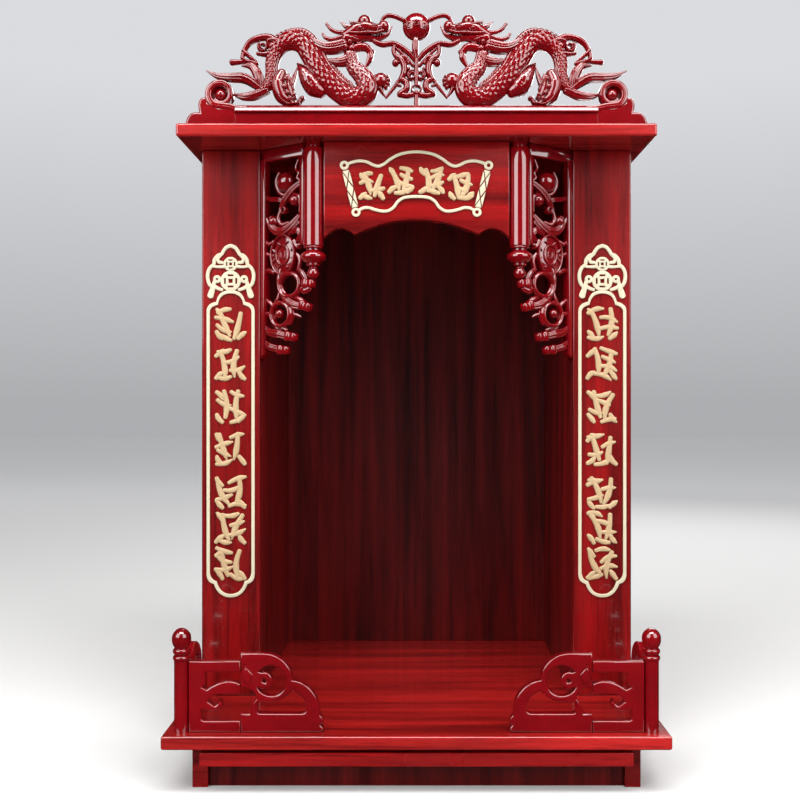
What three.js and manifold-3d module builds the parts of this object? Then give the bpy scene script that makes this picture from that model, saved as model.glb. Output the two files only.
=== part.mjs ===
// Household altar cabinet in red lacquered wood. Millimetres, +Z up, front towards -Y.
// The origin is at the middle of the cabinet's footprint, on the surface it stands on.
import * as THREE from 'three';
import { mergeVertices } from 'three/addons/utils/BufferGeometryUtils.js';
import Module from 'manifold-3d';

const wasm = await Module();
wasm.setup();

// Base board and plinth
const baseWidth = 440;
const baseDepth = 350;
const boardThickness = 12;
const boardRounding = 2;
const plinthHeight = 41;
const plinthInset = 22;
const plinthSideThickness = 14;
const plinthFrontSetback = 25;
const plinthBackSetback = 12;
const kickPanelSetback = 4;
const kickPanelThickness = 10;
const frontRailInset = 10.5;
const frontRailHeight = 12;
const frontRailDrop = 3.5;
const frontRailSetback = 4.5;

// Pillars and back
const pillarHeight = 533;
const pillarSetback = 119;
const pillarInset = 10;
const stileWidth = 57;
const wallThickness = 12;
const backThickness = 9;

// Roof and header
const roofWidth = 446;
const roofSetback = 66;
const headerSetback = 85;
const headerDrop = 91;
const headerArchRise = 17;
const headerCuspRise = 3;
const headerScallopWidth = 29;
const headerScallopRise = 8;

// Hanging posts and the brackets between them and the pillars
const hangingPostInset = 55;
const hangingPostRadius = 10;
const hangingPostLength = 129;
const hangingFinialLength = 27;
const hangingNeckHeight = 5;
const hangingNeckInset = 2.5;
const bracketThickness = 9;
const bracketDrop = 209;
const bracketFrameWidth = 8;
const bracketTopWidth = 12;
const bracketInnerWidth = 4.5;
const bracketInnerDrop = 96;
const bracketFootSlant = 10;
const bracketStileInset = 6;

// Fence round the front of the base board
const cornerPostInset = 15;
const cornerPostRadius = 6.5;
const cornerPostShaft = 62.4;
const fenceThickness = 9;
const fenceRailHeight = 62;
const fenceTopBar = 10.1;
const fenceFootBar = 16.2;
const fenceRailLength = 45.1;
const cloudEndLength = 73;
const cloudEndHeight = 68.7;
const sideFenceGap = 13;

// Crest and gilt frames
const crestLength = 434;
const crestSetback = 76;
const crestDepth = 18;
const giltThickness = 1.6;
const plaqueInset = 30;
const plaqueLift = 26;
const coupletLift = 96;
const coupletLength = 282;
const giltLine = 3.4;
const coupletHalfWidth = 23.5;
const plaqueLine = 3;

// Joints and roundness
const glueLine = 0.1;
const trimGap = 0.3;
const postSides = 8;

const lacquerBoard = new THREE.MeshStandardMaterial({ color: 0x9c1418, roughness: 0.3, metalness: 0 });
const lacquerEdge = new THREE.MeshStandardMaterial({ color: 0xc8302a, roughness: 0.3, metalness: 0 });
const lacquerDark = new THREE.MeshStandardMaterial({ color: 0x4e0c0f, roughness: 0.35, metalness: 0 });
const carvedLacquer = new THREE.MeshStandardMaterial({ color: 0x6e0d18, roughness: 0.2, metalness: 0 });
const giltPaint = new THREE.MeshStandardMaterial({ color: 0xf3e6c4, roughness: 0.5, metalness: 0.1 });

// Heights and depths that the pieces share
const cabinet = new THREE.Group();
const frontY = -baseDepth / 2;
const backY = baseDepth / 2;
const baseUndersideZ = plinthHeight + glueLine;
const floorZ = baseUndersideZ + boardThickness;
const standZ = floorZ + glueLine;
const pillarTopZ = standZ + pillarHeight;
const roofUndersideZ = pillarTopZ + glueLine;
const roofTopZ = roofUndersideZ + boardThickness;
const stileFrontY = frontY + pillarSetback;
const pillarOuterX = baseWidth / 2 - pillarInset;
const stileCentreX = pillarOuterX - stileWidth / 2;
const nicheHalfWidth = pillarOuterX - stileWidth;
const hangingPostX = nicheHalfWidth - hangingPostInset;
const hangingPostY = frontY + headerSetback + wallThickness / 2;

// Welded corners, without the flat triangles that a closed pole leaves.
function welded(geometry) {
  const bare = geometry.clone();
  bare.deleteAttribute('normal');
  bare.deleteAttribute('uv');
  const merged = mergeVertices(bare, 1e-4);
  const corners = merged.index.array;
  const kept = [];
  for (let i = 0; i < corners.length; i += 3) {
    const [a, b, c] = [corners[i], corners[i + 1], corners[i + 2]];
    if (a !== b && b !== c && c !== a) kept.push(a, b, c);
  }
  merged.setIndex(kept);
  return merged;
}

function toSolid(geometry) {
  const merged = welded(geometry);
  const vertProperties = Float32Array.from(merged.attributes.position.array);
  const triVerts = Uint32Array.from(merged.index.array);
  return new wasm.Manifold(new wasm.Mesh({ numProp: 3, vertProperties, triVerts }));
}

function toGeometry(solid) {
  const mesh = solid.getMesh();
  const geometry = new THREE.BufferGeometry();
  geometry.setAttribute('position', new THREE.BufferAttribute(mesh.vertProperties, 3));
  geometry.setIndex(new THREE.BufferAttribute(mesh.triVerts, 1));
  geometry.computeVertexNormals();
  return geometry;
}

function joinAll(geometries) {
  return geometries.map(toSolid).reduce((whole, piece) => whole.add(piece));
}

// The same geometry on the other side of x = 0, still facing outwards.
function mirrored(geometry) {
  const copy = welded(geometry);
  copy.scale(-1, 1, 1);
  const corners = Array.from(copy.index.array);
  for (let i = 0; i < corners.length; i += 3) {
    [corners[i + 1], corners[i + 2]] = [corners[i + 2], corners[i + 1]];
  }
  copy.setIndex(corners);
  return copy;
}

function withMirror(geometries) {
  return [...geometries, ...geometries.map(mirrored)];
}

function addPiece(name, geometry, material, x, y, z) {
  const mesh = new THREE.Mesh(geometry, material);
  mesh.name = name;
  mesh.position.set(x, y, z);
  cabinet.add(mesh);
  return mesh;
}

// A plain board between two corners.
function addBoard(name, material, [x0, y0, z0], [x1, y1, z1]) {
  const geometry = new THREE.BoxGeometry(x1 - x0, y1 - y0, z1 - z0);
  return addPiece(name, geometry, material, (x0 + x1) / 2, (y0 + y1) / 2, (z0 + z1) / 2);
}

// A flat shape in x and z becomes a plate, centred on y = 0.
function plate(shape, thickness, curveSegments = 2) {
  const geometry = new THREE.ExtrudeGeometry(shape, { depth: thickness, bevelEnabled: false, curveSegments });
  geometry.translate(0, 0, -thickness / 2);
  geometry.rotateX(Math.PI / 2);
  return geometry;
}

function rectangle(x0, z0, x1, z1) {
  const shape = new THREE.Shape();
  shape.moveTo(x0, z0);
  shape.lineTo(x1, z0);
  shape.lineTo(x1, z1);
  shape.lineTo(x0, z1);
  shape.closePath();
  return shape;
}

// A board lying flat, with its arrises rounded all round.
function roundedBoard(width, depth, thickness, rounding) {
  const x = width / 2 - rounding;
  const y = depth / 2 - rounding;
  const geometry = new THREE.ExtrudeGeometry(rectangle(-x, -y, x, y), {
    depth: thickness - 2 * rounding,
    bevelEnabled: true,
    bevelThickness: rounding,
    bevelSize: rounding,
    bevelSegments: 2,
  });
  geometry.translate(0, 0, rounding - thickness / 2);
  return geometry;
}

// A turned piece about the z axis. The profile runs upwards from the axis to the axis.
function turned(profile, sides = postSides) {
  const points = profile.map(([radius, height]) => new THREE.Vector2(radius, height));
  const geometry = new THREE.LatheGeometry(points, sides);
  geometry.rotateX(Math.PI / 2);
  return welded(geometry);
}

function valueAt(values, share) {
  const place = share * (values.length - 1);
  const step = Math.min(Math.floor(place), values.length - 2);
  return THREE.MathUtils.lerp(values[step], values[step + 1], place - step);
}

function curveThrough(points) {
  return new THREE.CatmullRomCurve3(points.map(([x, z]) => new THREE.Vector3(x, 0, z)));
}

// A round bar bent along a flat curve in x and z, with a half-width at each point.
// Its depth along y is flatness times its width, and never more than the full depth.
function limb(points, halfWidths, { flatness = 1, fullDepth = crestDepth, sides = 4, steps = 2 } = {}) {
  const curve = curveThrough(points);
  const bar = new THREE.CylinderGeometry(1, 1, 1, sides, steps);
  const position = bar.attributes.position;
  for (let i = 0; i < position.count; i += 1) {
    const share = position.getY(i) + 0.5;
    const centre = curve.getPoint(share);
    const tangent = curve.getTangent(share);
    const halfWidth = valueAt(halfWidths, share);
    const across = position.getX(i) * halfWidth;
    const deep = position.getZ(i) * Math.min(halfWidth * flatness, fullDepth / 2);
    position.setXYZ(i, centre.x - tangent.z * across, deep, centre.z + tangent.x * across);
  }
  return bar;
}

function ball(x, z, radius, { depth = radius, sides = 6, rings = 4 } = {}) {
  const geometry = new THREE.SphereGeometry(radius, sides, rings);
  geometry.scale(1, depth / radius, 1);
  geometry.translate(x, 0, z);
  return geometry;
}

// A scroll seen from its end: a ring round a centre, oval if its two radii differ.
function scroll(x, z, radiusX, radiusZ, band, depth, sides = 8) {
  const geometry = new THREE.TorusGeometry(radiusX, band / 2, 4, sides);
  geometry.rotateX(Math.PI / 2);
  geometry.scale(1, depth / band, radiusZ / radiusX);
  geometry.translate(x, 0, z);
  return geometry;
}

// Base board and plinth

function buildBase() {
  const base = roundedBoard(baseWidth, baseDepth, boardThickness, boardRounding);
  addPiece('base_board', base, lacquerEdge, 0, 0, baseUndersideZ + boardThickness / 2);

  const outer = baseWidth / 2 - plinthInset;
  const inner = outer - plinthSideThickness;
  const legFrontY = frontY + plinthFrontSetback;
  const legBackY = backY - plinthBackSetback;
  const kickFrontY = legFrontY + kickPanelSetback;
  const backRailY = legBackY - kickPanelSetback;
  const insideX = inner - glueLine;
  addBoard('plinth_side_left', lacquerBoard, [-outer, legFrontY, 0], [-inner, legBackY, plinthHeight]);
  addBoard('plinth_side_right', lacquerBoard, [inner, legFrontY, 0], [outer, legBackY, plinthHeight]);
  addBoard(
    'plinth_kick_panel', lacquerDark,
    [-insideX, kickFrontY, 0], [insideX, kickFrontY + kickPanelThickness, plinthHeight],
  );
  addBoard(
    'plinth_back_rail', lacquerDark,
    [-insideX, backRailY - kickPanelThickness, 0], [insideX, backRailY, plinthHeight],
  );
  const railTopZ = plinthHeight - frontRailDrop;
  const frontRailEnd = outer - frontRailInset;
  addBoard(
    'plinth_front_rail', lacquerEdge,
    [-frontRailEnd, frontY + frontRailSetback, railTopZ - frontRailHeight],
    [frontRailEnd, legFrontY - glueLine, railTopZ],
  );
}

// Two hollow pillars of boards, and the back panel between and behind them

function buildPillars() {
  const wallFrontY = stileFrontY + wallThickness + glueLine;
  const backPanelY = backY - backThickness;
  const wallBackY = backPanelY - glueLine;
  const half = pillarOuterX;
  for (const [side, sign] of [['left', -1], ['right', 1]]) {
    const between = (xa, xb) => [Math.min(sign * xa, sign * xb), Math.max(sign * xa, sign * xb)];
    const [stileX0, stileX1] = between(nicheHalfWidth, half);
    const [innerX0, innerX1] = between(nicheHalfWidth, nicheHalfWidth + wallThickness);
    const [outerX0, outerX1] = between(half - wallThickness, half);
    addBoard(
      `stile_${side}`, lacquerBoard,
      [stileX0, stileFrontY, standZ], [stileX1, stileFrontY + wallThickness, pillarTopZ],
    );
    addBoard(
      `inner_wall_${side}`, lacquerDark,
      [innerX0, wallFrontY, standZ], [innerX1, wallBackY, pillarTopZ],
    );
    addBoard(
      `outer_wall_${side}`, lacquerBoard,
      [outerX0, wallFrontY, standZ], [outerX1, wallBackY, pillarTopZ],
    );
  }
  addBoard('back_panel', lacquerDark, [-half, backPanelY, standZ], [half, backY, pillarTopZ]);
}

// Roof board, and the header with its scalloped lower edge

function buildRoof() {
  const depth = baseDepth - roofSetback;
  const roof = roundedBoard(roofWidth, depth, boardThickness, boardRounding);
  addPiece('roof_board', roof, lacquerEdge, 0, backY - depth / 2, roofUndersideZ + boardThickness / 2);
}

function headerShape() {
  const end = hangingPostX - hangingPostRadius - trimGap;
  const cusp = end - headerScallopWidth;
  const cuspZ = headerCuspRise;
  const shape = new THREE.Shape();
  shape.moveTo(-end, 0);
  shape.quadraticCurveTo(-(end + cusp) / 2, 2 * headerScallopRise, -cusp, cuspZ);
  shape.quadraticCurveTo(0, 2 * headerArchRise - cuspZ, cusp, cuspZ);
  shape.quadraticCurveTo((end + cusp) / 2, 2 * headerScallopRise, end, 0);
  shape.lineTo(end, headerDrop);
  shape.lineTo(-end, headerDrop);
  shape.closePath();
  return shape;
}

function buildHeader() {
  const z = pillarTopZ - headerDrop;
  addPiece('header_board', plate(headerShape(), wallThickness, 6), lacquerBoard, 0, hangingPostY, z);
}

// Hanging posts: from the roof down a neck, the shaft, a ring, a bulb, a neck and a ball.
// The finial's heights are shares of its length, and its radii shares of the shaft's.

function hangingPostProfile(clearance) {
  const shaft = hangingPostRadius + clearance;
  const foot = -hangingPostLength;
  const ringZ = foot + hangingFinialLength;
  const finial = [
    [0.4, 0.045], [0.575, 0.167], [0.575, 0.278], [0.42, 0.39], [0.9, 0.5], [1.23, 0.63],
    [1.23, 0.74], [0.96, 0.87], [1.1, 0.911], [1.1, 0.97],
  ].map(([radius, height]) => [
    radius * hangingPostRadius + clearance, foot + height * hangingFinialLength,
  ]);
  return [
    [0, foot - clearance],
    ...finial,
    [shaft, ringZ],
    [shaft, -hangingNeckHeight - 0.6],
    [shaft - hangingNeckInset, -hangingNeckHeight],
    [shaft - hangingNeckInset, 0],
    [0, 0],
  ];
}

function buildHangingPosts() {
  const post = turned(hangingPostProfile(0));
  addPiece('hanging_post_left', post, carvedLacquer, -hangingPostX, hangingPostY, pillarTopZ);
  addPiece('hanging_post_right', post.clone(), carvedLacquer, hangingPostX, hangingPostY, pillarTopZ);
}

// Pierced bracket. Its own x runs from the stile to the post, and z down from the roof.

function bracketFrameShape() {
  const overrun = bracketThickness / 2;
  const outer = new THREE.Shape();
  outer.moveTo(-overrun, -bracketDrop);
  outer.lineTo(bracketFrameWidth, bracketFootSlant - bracketDrop);
  outer.lineTo(bracketFrameWidth, 0);
  outer.lineTo(-overrun, 0);
  outer.closePath();
  return outer;
}

// The carving is drawn for a drop of 209 and a reach of 54.
function bracketCarving(reach) {
  const unit = bracketDrop / 209;
  const leaf = { flatness: 0.8, fullDepth: bracketThickness / unit };
  const inner = reach / unit - bracketInnerWidth / 2;
  const carving = [
    ball(31.3, -33.4, 9, { depth: 6 }),
    ball(42, -51.5, 6, { depth: 5, sides: 5 }),
    limb([[inner, -33], [37, -41.4], [28, -50], [21, -72]], [2, 2.2, 2.4, 4.6], { ...leaf, steps: 3 }),
    limb([[3, -44], [42, -52]], [2, 2.4], { ...leaf, steps: 1 }),
    limb([[4, -68], [15, -77], [27, -81.5], [inner, -68]], [2.5, 4.4, 5, 2], { ...leaf, steps: 3 }),
    limb([[40, -90], [46, -80], [inner, -70]], [1.5, 3.5, 2], leaf),
    scroll(29.4, -104, 12.8, 18.2, 4, 8),
    ball(29.4, -104, 14, { depth: 2.8, rings: 3 }),
    limb([[4, -101], [18, -104]], [2.6, 2.2], { ...leaf, steps: 1 }),
    limb([[30, -119], [32, -126]], [3, 3], { ...leaf, steps: 1 }),
    scroll(37.5, -133, 14.2, 10.8, 4, 8),
    limb([[49, -131], [60, -134]], [3.5, 4.6], { ...leaf, steps: 1 }),
    limb([[42, -141], [55, -155]], [3, 4.4], { ...leaf, steps: 1 }),
    scroll(25.5, -160.5, 12.2, 12.2, 3.6, 8),
    limb([[4, -159], [24, -160.5]], [2, 4], { ...leaf, steps: 1 }),
    limb([[4, -175], [38, -183]], [2.5, 4.4], { ...leaf, steps: 1 }),
    limb([[4, -190], [29.4, -196.8]], [2.5, 4.4], { ...leaf, steps: 1 }),
  ];
  return carving.map((geometry) => geometry.scale(unit, unit, unit));
}

function buildBrackets() {
  const startX = nicheHalfWidth - trimGap;
  const startY = stileFrontY + bracketStileInset;
  const length = Math.hypot(startX - hangingPostX, startY - hangingPostY);
  const turn = Math.atan2(startY - hangingPostY, startX - hangingPostX);
  const reach = length - hangingPostRadius;

  const frame = [
    plate(bracketFrameShape(), bracketThickness),
    plate(rectangle(-bracketThickness / 2, -bracketTopWidth, reach + 1, 0), bracketThickness),
    plate(rectangle(reach - bracketInnerWidth, -bracketInnerDrop, reach + 1, -1), bracketThickness - 2),
  ];
  const whole = joinAll([...frame, ...bracketCarving(reach)]);

  const roomSides = 12;
  const postRoom = turned(hangingPostProfile(trimGap), roomSides);
  const flatsToCorners = 1 / Math.cos(Math.PI / roomSides);
  postRoom.scale(flatsToCorners, flatsToCorners, 1);
  postRoom.translate(length, 0, 0);
  const stileRoom = new THREE.BoxGeometry(4 * bracketFrameWidth, 8 * bracketThickness, 3 * bracketDrop);
  stileRoom.translate(-2 * bracketFrameWidth, 0, 0);
  stileRoom.rotateZ(turn);
  const roofRoom = new THREE.BoxGeometry(4 * length, 4 * length, bracketDrop);
  roofRoom.translate(0, 0, bracketDrop / 2);
  const cut = whole.subtract(toSolid(postRoom)).subtract(toSolid(stileRoom)).subtract(toSolid(roofRoom));

  const left = toGeometry(cut);
  const leftMesh = addPiece('carved_bracket_left', left, carvedLacquer, -startX, startY, pillarTopZ);
  leftMesh.rotation.z = -turn;
  const right = mirrored(left);
  const rightMesh = addPiece('carved_bracket_right', right, carvedLacquer, startX, startY, pillarTopZ);
  rightMesh.rotation.z = turn;
}

// Turned corner posts

function cornerPostProfile() {
  const shaft = cornerPostRadius;
  const top = cornerPostShaft;
  return [
    [0, 0],
    [shaft, 0],
    [shaft, top],
    [shaft + 0.9, top + 0.8],
    [shaft + 0.9, top + 2.6],
    [shaft - 0.4, top + 3.8],
    [shaft - 0.4, top + 5.4],
    [shaft + 0.9, top + 6.6],
    [shaft + 0.9, top + 8.6],
    [shaft - 0.5, top + 10],
    [shaft + 1.4, top + 14.5],
    [shaft + 1.8, top + 18.6],
    [shaft + 0.6, top + 23.2],
    [shaft - 2.8, top + 26.6],
    [0, top + 27.4],
  ];
}

// The fence panels. Each keeps its bottom edge on the base board.

function addLinesAndArcs(path, steps) {
  for (const step of steps) {
    if (step.length === 2) path.lineTo(...step);
    else if (step.length === 4) path.quadraticCurveTo(...step);
    else path.bezierCurveTo(...step);
  }
  return path;
}

// The rail panel ends at x = 0, where the cloud end begins. It is drawn 45.1 long and 62 high.
function fenceRail() {
  const shape = new THREE.Shape();
  shape.moveTo(-45.1, 0);
  addLinesAndArcs(shape, [
    [0, 0], [0, 9.9], [-31, 9.9],
    [-33.8, 10, -33.8, 13],
    [-33.8, 20],
    [-25, 16.4, -18, 20],
    [-13.6, 23.5, -18.1, 28.4],
    [-19.5, 24, -23.1, 22.9],
    [-27.7, 26.3],
    [-26.5, 31.2, -19.8, 32.6],
    [0, 32.6], [0, 41.8],
    [-14, 49, -29.6, 36.9],
    [-33.2, 38.9],
    [-30.3, 42.5], [-30.3, 51.9], [0, 51.9], [0, 62], [-45.1, 62],
  ]);
  return plate(shape, fenceThickness).scale(fenceRailLength / 45.1, 1, fenceRailHeight / 62);
}

// The ring-shaped opening round the curl: one circle less another that meets its side.
function crescent(outerX, outerZ, outerRadius, innerRadius, shift) {
  const reach = (outerRadius ** 2 - innerRadius ** 2 + shift ** 2) / (2 * shift);
  const outerAngle = Math.acos(reach / outerRadius);
  const innerAngle = Math.acos((reach - shift) / innerRadius);
  const hole = new THREE.Path();
  hole.absarc(outerX, outerZ, outerRadius, Math.PI - outerAngle, outerAngle - Math.PI, true);
  hole.absarc(outerX - shift, outerZ, innerRadius, innerAngle - Math.PI, Math.PI - innerAngle, false);
  return hole;
}

// The cloud end is drawn 73 long and 68.7 high.
function cloudEnd() {
  const shape = new THREE.Shape();
  shape.moveTo(0, 0);
  addLinesAndArcs(shape, [
    [71, 0],
    [74, 3, 69.8, 6],
    [75, 9, 69, 15.7],
    [69.4, 31, 60, 43.5, 45.4, 45.2],
    [45.5, 58, 34, 68.7, 19.8, 68.7],
    [0, 68.7], [0, 58.4], [4.2, 58.4],
    [1, 53.5, 0, 48.5],
    [0, 38.6],
    [10, 40, 14.3, 29.6],
    [8.5, 24, 7.6, 16.2],
    [0, 16.2],
  ]);
  shape.holes.push(crescent(26.5, 44.7, 13.2, 7.6, 6.1));
  const lower = new THREE.Path();
  lower.moveTo(17.5, 16.2);
  addLinesAndArcs(lower, [
    [15.1, 16.2, 15.1, 18.5], [15.1, 25.6], [28.2, 26],
    [38, 27.5, 45, 36.3],
    [56.5, 30.5, 57.6, 22],
    [57.5, 16.4, 52, 16.2],
    [17.5, 16.2],
  ]);
  shape.holes.push(lower);
  return plate(shape, fenceThickness).scale(cloudEndLength / 73, 1, cloudEndHeight / 68.7);
}

function buildFence() {
  const postX = baseWidth / 2 - cornerPostInset;
  const postY = frontY + cornerPostInset;
  const railEnd = cornerPostRadius + trimGap;
  const jointX = postX - railEnd - fenceRailLength - glueLine;
  const post = turned(cornerPostProfile());
  const rail = fenceRail();
  const cloud = cloudEnd();

  const sideRun = pillarSetback - sideFenceGap - cornerPostInset - railEnd;
  const sideStart = sideRun - cloudEndLength;
  const sideRail = plate(rectangle(0, 0, sideStart + 1, fenceRailHeight), fenceThickness);
  const sideNotch = plate(
    rectangle(sideStart / 2, fenceFootBar, sideStart + 2, fenceRailHeight - fenceTopBar), 2 * fenceThickness,
  );
  const sideCloud = cloud.clone().translate(sideStart, 0, 0);
  const side = toGeometry(joinAll([sideRail, sideCloud]).subtract(toSolid(sideNotch)));

  addPiece('corner_post_front_left', post, carvedLacquer, -postX, postY, standZ);
  addPiece('corner_post_front_right', post.clone(), carvedLacquer, postX, postY, standZ);
  addPiece('fence_rail_left', rail, carvedLacquer, -jointX - glueLine, postY, standZ);
  addPiece('fence_rail_right', mirrored(rail), carvedLacquer, jointX + glueLine, postY, standZ);
  addPiece('fence_cloud_end_left', cloud, carvedLacquer, -jointX, postY, standZ);
  addPiece('fence_cloud_end_right', mirrored(cloud), carvedLacquer, jointX, postY, standZ);
  const left = addPiece('side_fence_left', side, carvedLacquer, -postX, postY + railEnd, standZ);
  left.rotation.z = Math.PI / 2;
  const right = addPiece('side_fence_right', mirrored(side), carvedLacquer, postX, postY + railEnd, standZ);
  right.rotation.z = -Math.PI / 2;
}

// The crest: a rail with cloud ends and volutes, two dragons and the pearl between them.
// The carving is drawn for a length of 434 and keeps its proportions at any other.

const carvingUnit = crestLength / 434;

function carved(points, halfWidths, options = {}) {
  const placed = points.map(([x, z]) => [x * carvingUnit, z * carvingUnit]);
  return limb(placed, halfWidths.map((value) => value * carvingUnit), options);
}

function carvedBall(x, z, radius, depth = radius) {
  const size = radius * carvingUnit;
  return ball(x * carvingUnit, z * carvingUnit, size, { depth: depth * carvingUnit });
}

function crestRail() {
  const depth = crestDepth / 2;
  const face = depth - 2 * carvingUnit;
  const foot = 12.6 * carvingUnit;
  const low = 14 * carvingUnit;
  const high = 18 * carvingUnit;
  const top = 20 * carvingUnit;
  const section = new THREE.Shape();
  section.moveTo(-face, 0);
  addLinesAndArcs(section, [
    [face, 0], [face, foot], [depth, low], [depth, high], [face, top],
    [-face, top], [-depth, high], [-depth, low], [-face, foot],
  ]);
  const length = 340 * carvingUnit;
  const rail = new THREE.ExtrudeGeometry(section, { depth: length, bevelEnabled: false });
  rail.translate(0, 0, -length / 2);
  const along = new THREE.Matrix4().makeBasis(
    new THREE.Vector3(0, 1, 0), new THREE.Vector3(0, 0, 1), new THREE.Vector3(1, 0, 0),
  );
  rail.applyMatrix4(along);
  return rail;
}

function crestCloudEnd() {
  const shape = new THREE.Shape();
  shape.moveTo(-217, 0);
  addLinesAndArcs(shape, [
    [-160, 0], [-160, 16], [-178, 20], [-186, 34], [-196, 27],
    [-208.5, 28, -203.5, 13],
    [-216.5, 15, -217, 0],
  ]);
  const geometry = plate(shape, crestDepth - 4 * carvingUnit, 3);
  geometry.scale(carvingUnit, 1, carvingUnit);
  return geometry;
}

// The volute curls from the rail's bead round the ball at its middle.
function crestVolute() {
  const centre = [-184, 31.1];
  const line = [[-164, 16.6], [-174, 16.6]];
  const turns = 8;
  for (let i = 0; i <= turns; i += 1) {
    const angle = -0.6 * Math.PI - (i / turns) * 1.95 * Math.PI;
    const radius = THREE.MathUtils.lerp(12.4, 6.6, (i / turns) ** 1.6);
    line.push([centre[0] + radius * Math.cos(angle), centre[1] + radius * Math.sin(angle)]);
  }
  const halfWidths = [3, 3, 2.7, 2.5, 2.4, 2.2, 1.8, 1.2];
  return [carved(line, halfWidths, { flatness: 3.4, steps: 8 }), carvedBall(...centre, 7.6, 5.6)];
}

function dragonBody() {
  const line = [
    [-62.5, 70], [-59.5, 58.5], [-50.5, 49], [-46, 40], [-48.2, 33], [-54.5, 28.6], [-63.1, 28.4],
    [-72.1, 33.8], [-79.6, 40.5], [-86.3, 48], [-93.8, 59.2], [-99.8, 69.7], [-107, 79.5],
    [-116.3, 82.6], [-126.2, 79.5], [-132.9, 71.7], [-136, 61.2], [-136.4, 50.7], [-139.5, 41.1],
    [-146, 35.2],
  ];
  const halfWidths = [
    5.2, 5.6, 7.2, 9.3, 9.4, 9.3, 9.2, 9.2, 9.4, 9.6, 9.6, 9.3, 8.8, 8.4, 7.4, 6.4, 5.7, 5.3, 4.9, 4.2,
  ];
  const finLine = [[-67, 42], [-82, 57], [-92, 76], [-101, 89], [-110, 93.5], [-121, 92.5]];
  return [
    carved(line, halfWidths, { sides: 6, steps: 16 }),
    carved(finLine, [1, 2.8, 3, 2.6, 1], { steps: 4, flatness: 0.7 }),
  ];
}

function dragonHead() {
  return [
    carved([[-67, 87], [-57, 94], [-45, 95.4], [-28, 95.4]], [4, 6.6, 6.4, 3.6], { steps: 3, sides: 5 }),
    carvedBall(-49.3, 100, 5.4),
    carvedBall(-30.9, 95.4, 5.4),
    carved([[-67, 84], [-43, 86.4]], [5, 4], { steps: 1 }),
    carved([[-46, 86], [-25, 87.4]], [3.2, 1.6], { steps: 1 }),
    carvedBall(-65.4, 75.4, 5.6),
    carved([[-64, 88.6], [-79.6, 92], [-84, 98]], [2.8, 2.2, 1.2]),
    carved([[-66, 86], [-86, 84.6]], [2.6, 1.6], { steps: 1 }),
    carved([[-60, 94], [-71.3, 100.6]], [3, 0.5], { steps: 1 }),
    carved([[-66, 78], [-81.8, 76.6], [-93, 78.8], [-103.5, 86]], [6.2, 5.2, 4.6, 1.6], { flatness: 0.7 }),
    carved([[-62, 66], [-86, 64.4]], [4.2, 1.2], { flatness: 0.7, steps: 1 }),
  ];
}

function dragonForeleg() {
  return [
    carved([[-60, 75], [-47.8, 76.4], [-43.2, 69], [-49, 56.5]], [3.4, 3.6, 3.6, 1.6], { steps: 3 }),
    carvedBall(-32.8, 44.4, 8.2),
    carved([[-33, 40], [-28, 31.4], [-20, 41.8], [-11.5, 54.7]], [3.6, 1.9, 1.7, 1.9], { steps: 3 }),
  ];
}

function dragonHindlegs() {
  return [
    carved([[-125.5, 51], [-127, 36], [-119.6, 23.5]], [5.6, 9.2, 5.4], { sides: 5 }),
    carved([[-120, 23.6], [-108.4, 26]], [4, 2.6], { steps: 1 }),
    carved([[-118, 36], [-111.3, 61]], [3.2, 0.6], { steps: 1 }),
    carved([[-110.7, 60.3], [-104.8, 51.4], [-101, 43.6], [-91, 35]], [0.8, 5, 8.4, 5], { steps: 3, sides: 5 }),
  ];
}

function dragonTail() {
  return [
    carved(
      [[-129, 79.5], [-142, 85.4], [-155.6, 80.4], [-161.6, 66]],
      [4, 4.2, 3, 2.6],
      { steps: 3 },
    ),
    carvedBall(-139.6, 76, 8.6),
    carved([[-141, 70.6], [-161.5, 68]], [3.2, 2], { steps: 1 }),
    carved([[-162, 68], [-148, 60]], [2.6, 2.2], { steps: 1 }),
    carved([[-175.7, 61.8], [-155, 62.6]], [2.6, 2], { steps: 1 }),
    carved([[-163.5, 60.4], [-155.6, 57], [-150.4, 49.8], [-149, 37]], [1.4, 4.2, 5, 3.4], { flatness: 0.8 }),
    carved(
      [[-196.6, 53], [-185.3, 48.2], [-172.2, 46.8], [-160, 45], [-145, 35.5]],
      [0.8, 3, 4.1, 4.4, 3.6],
      { flatness: 0.8, steps: 3 },
    ),
    carved([[-173, 30.6], [-141, 33.4]], [2.4, 4], { flatness: 0.9, steps: 1 }),
  ];
}

function pearlAndKnot() {
  const sideBars = [
    carved([[-31, 99], [-28.4, 105.4], [-22, 105.4], [-10, 100.4]], [2, 2, 2, 2.2]),
    carved([[-42, 85], [-32, 79.6], [-18, 79.6], [-7, 71], [0, 61.5]], [2.2, 2.2, 2.4, 2.4, 2.6], { steps: 3 }),
    carved([[-18.6, 80], [-21, 69.7], [-13.6, 54], [-7, 46], [-8, 38], [-13, 32.6]], [2, 1.9, 2.6, 2.8, 2.4, 2.8], {
      steps: 4,
    }),
    carvedBall(-19, 61.4, 3),
    carved([[-11, 33.6], [0, 31.6]], [2.2, 2.6], { steps: 1 }),
  ];
  return [
    ball(0, 95.6 * carvingUnit, 13.2 * carvingUnit, { depth: crestDepth / 2, sides: 8, rings: 6 }),
    carved([[0, 48], [0, 60], [0.4, 84]], [6, 2.8, 2]),
    carved([[0, 17], [0, 34]], [2.8, 2.6], { steps: 1 }),
    ...withMirror(sideBars),
  ];
}

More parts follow.
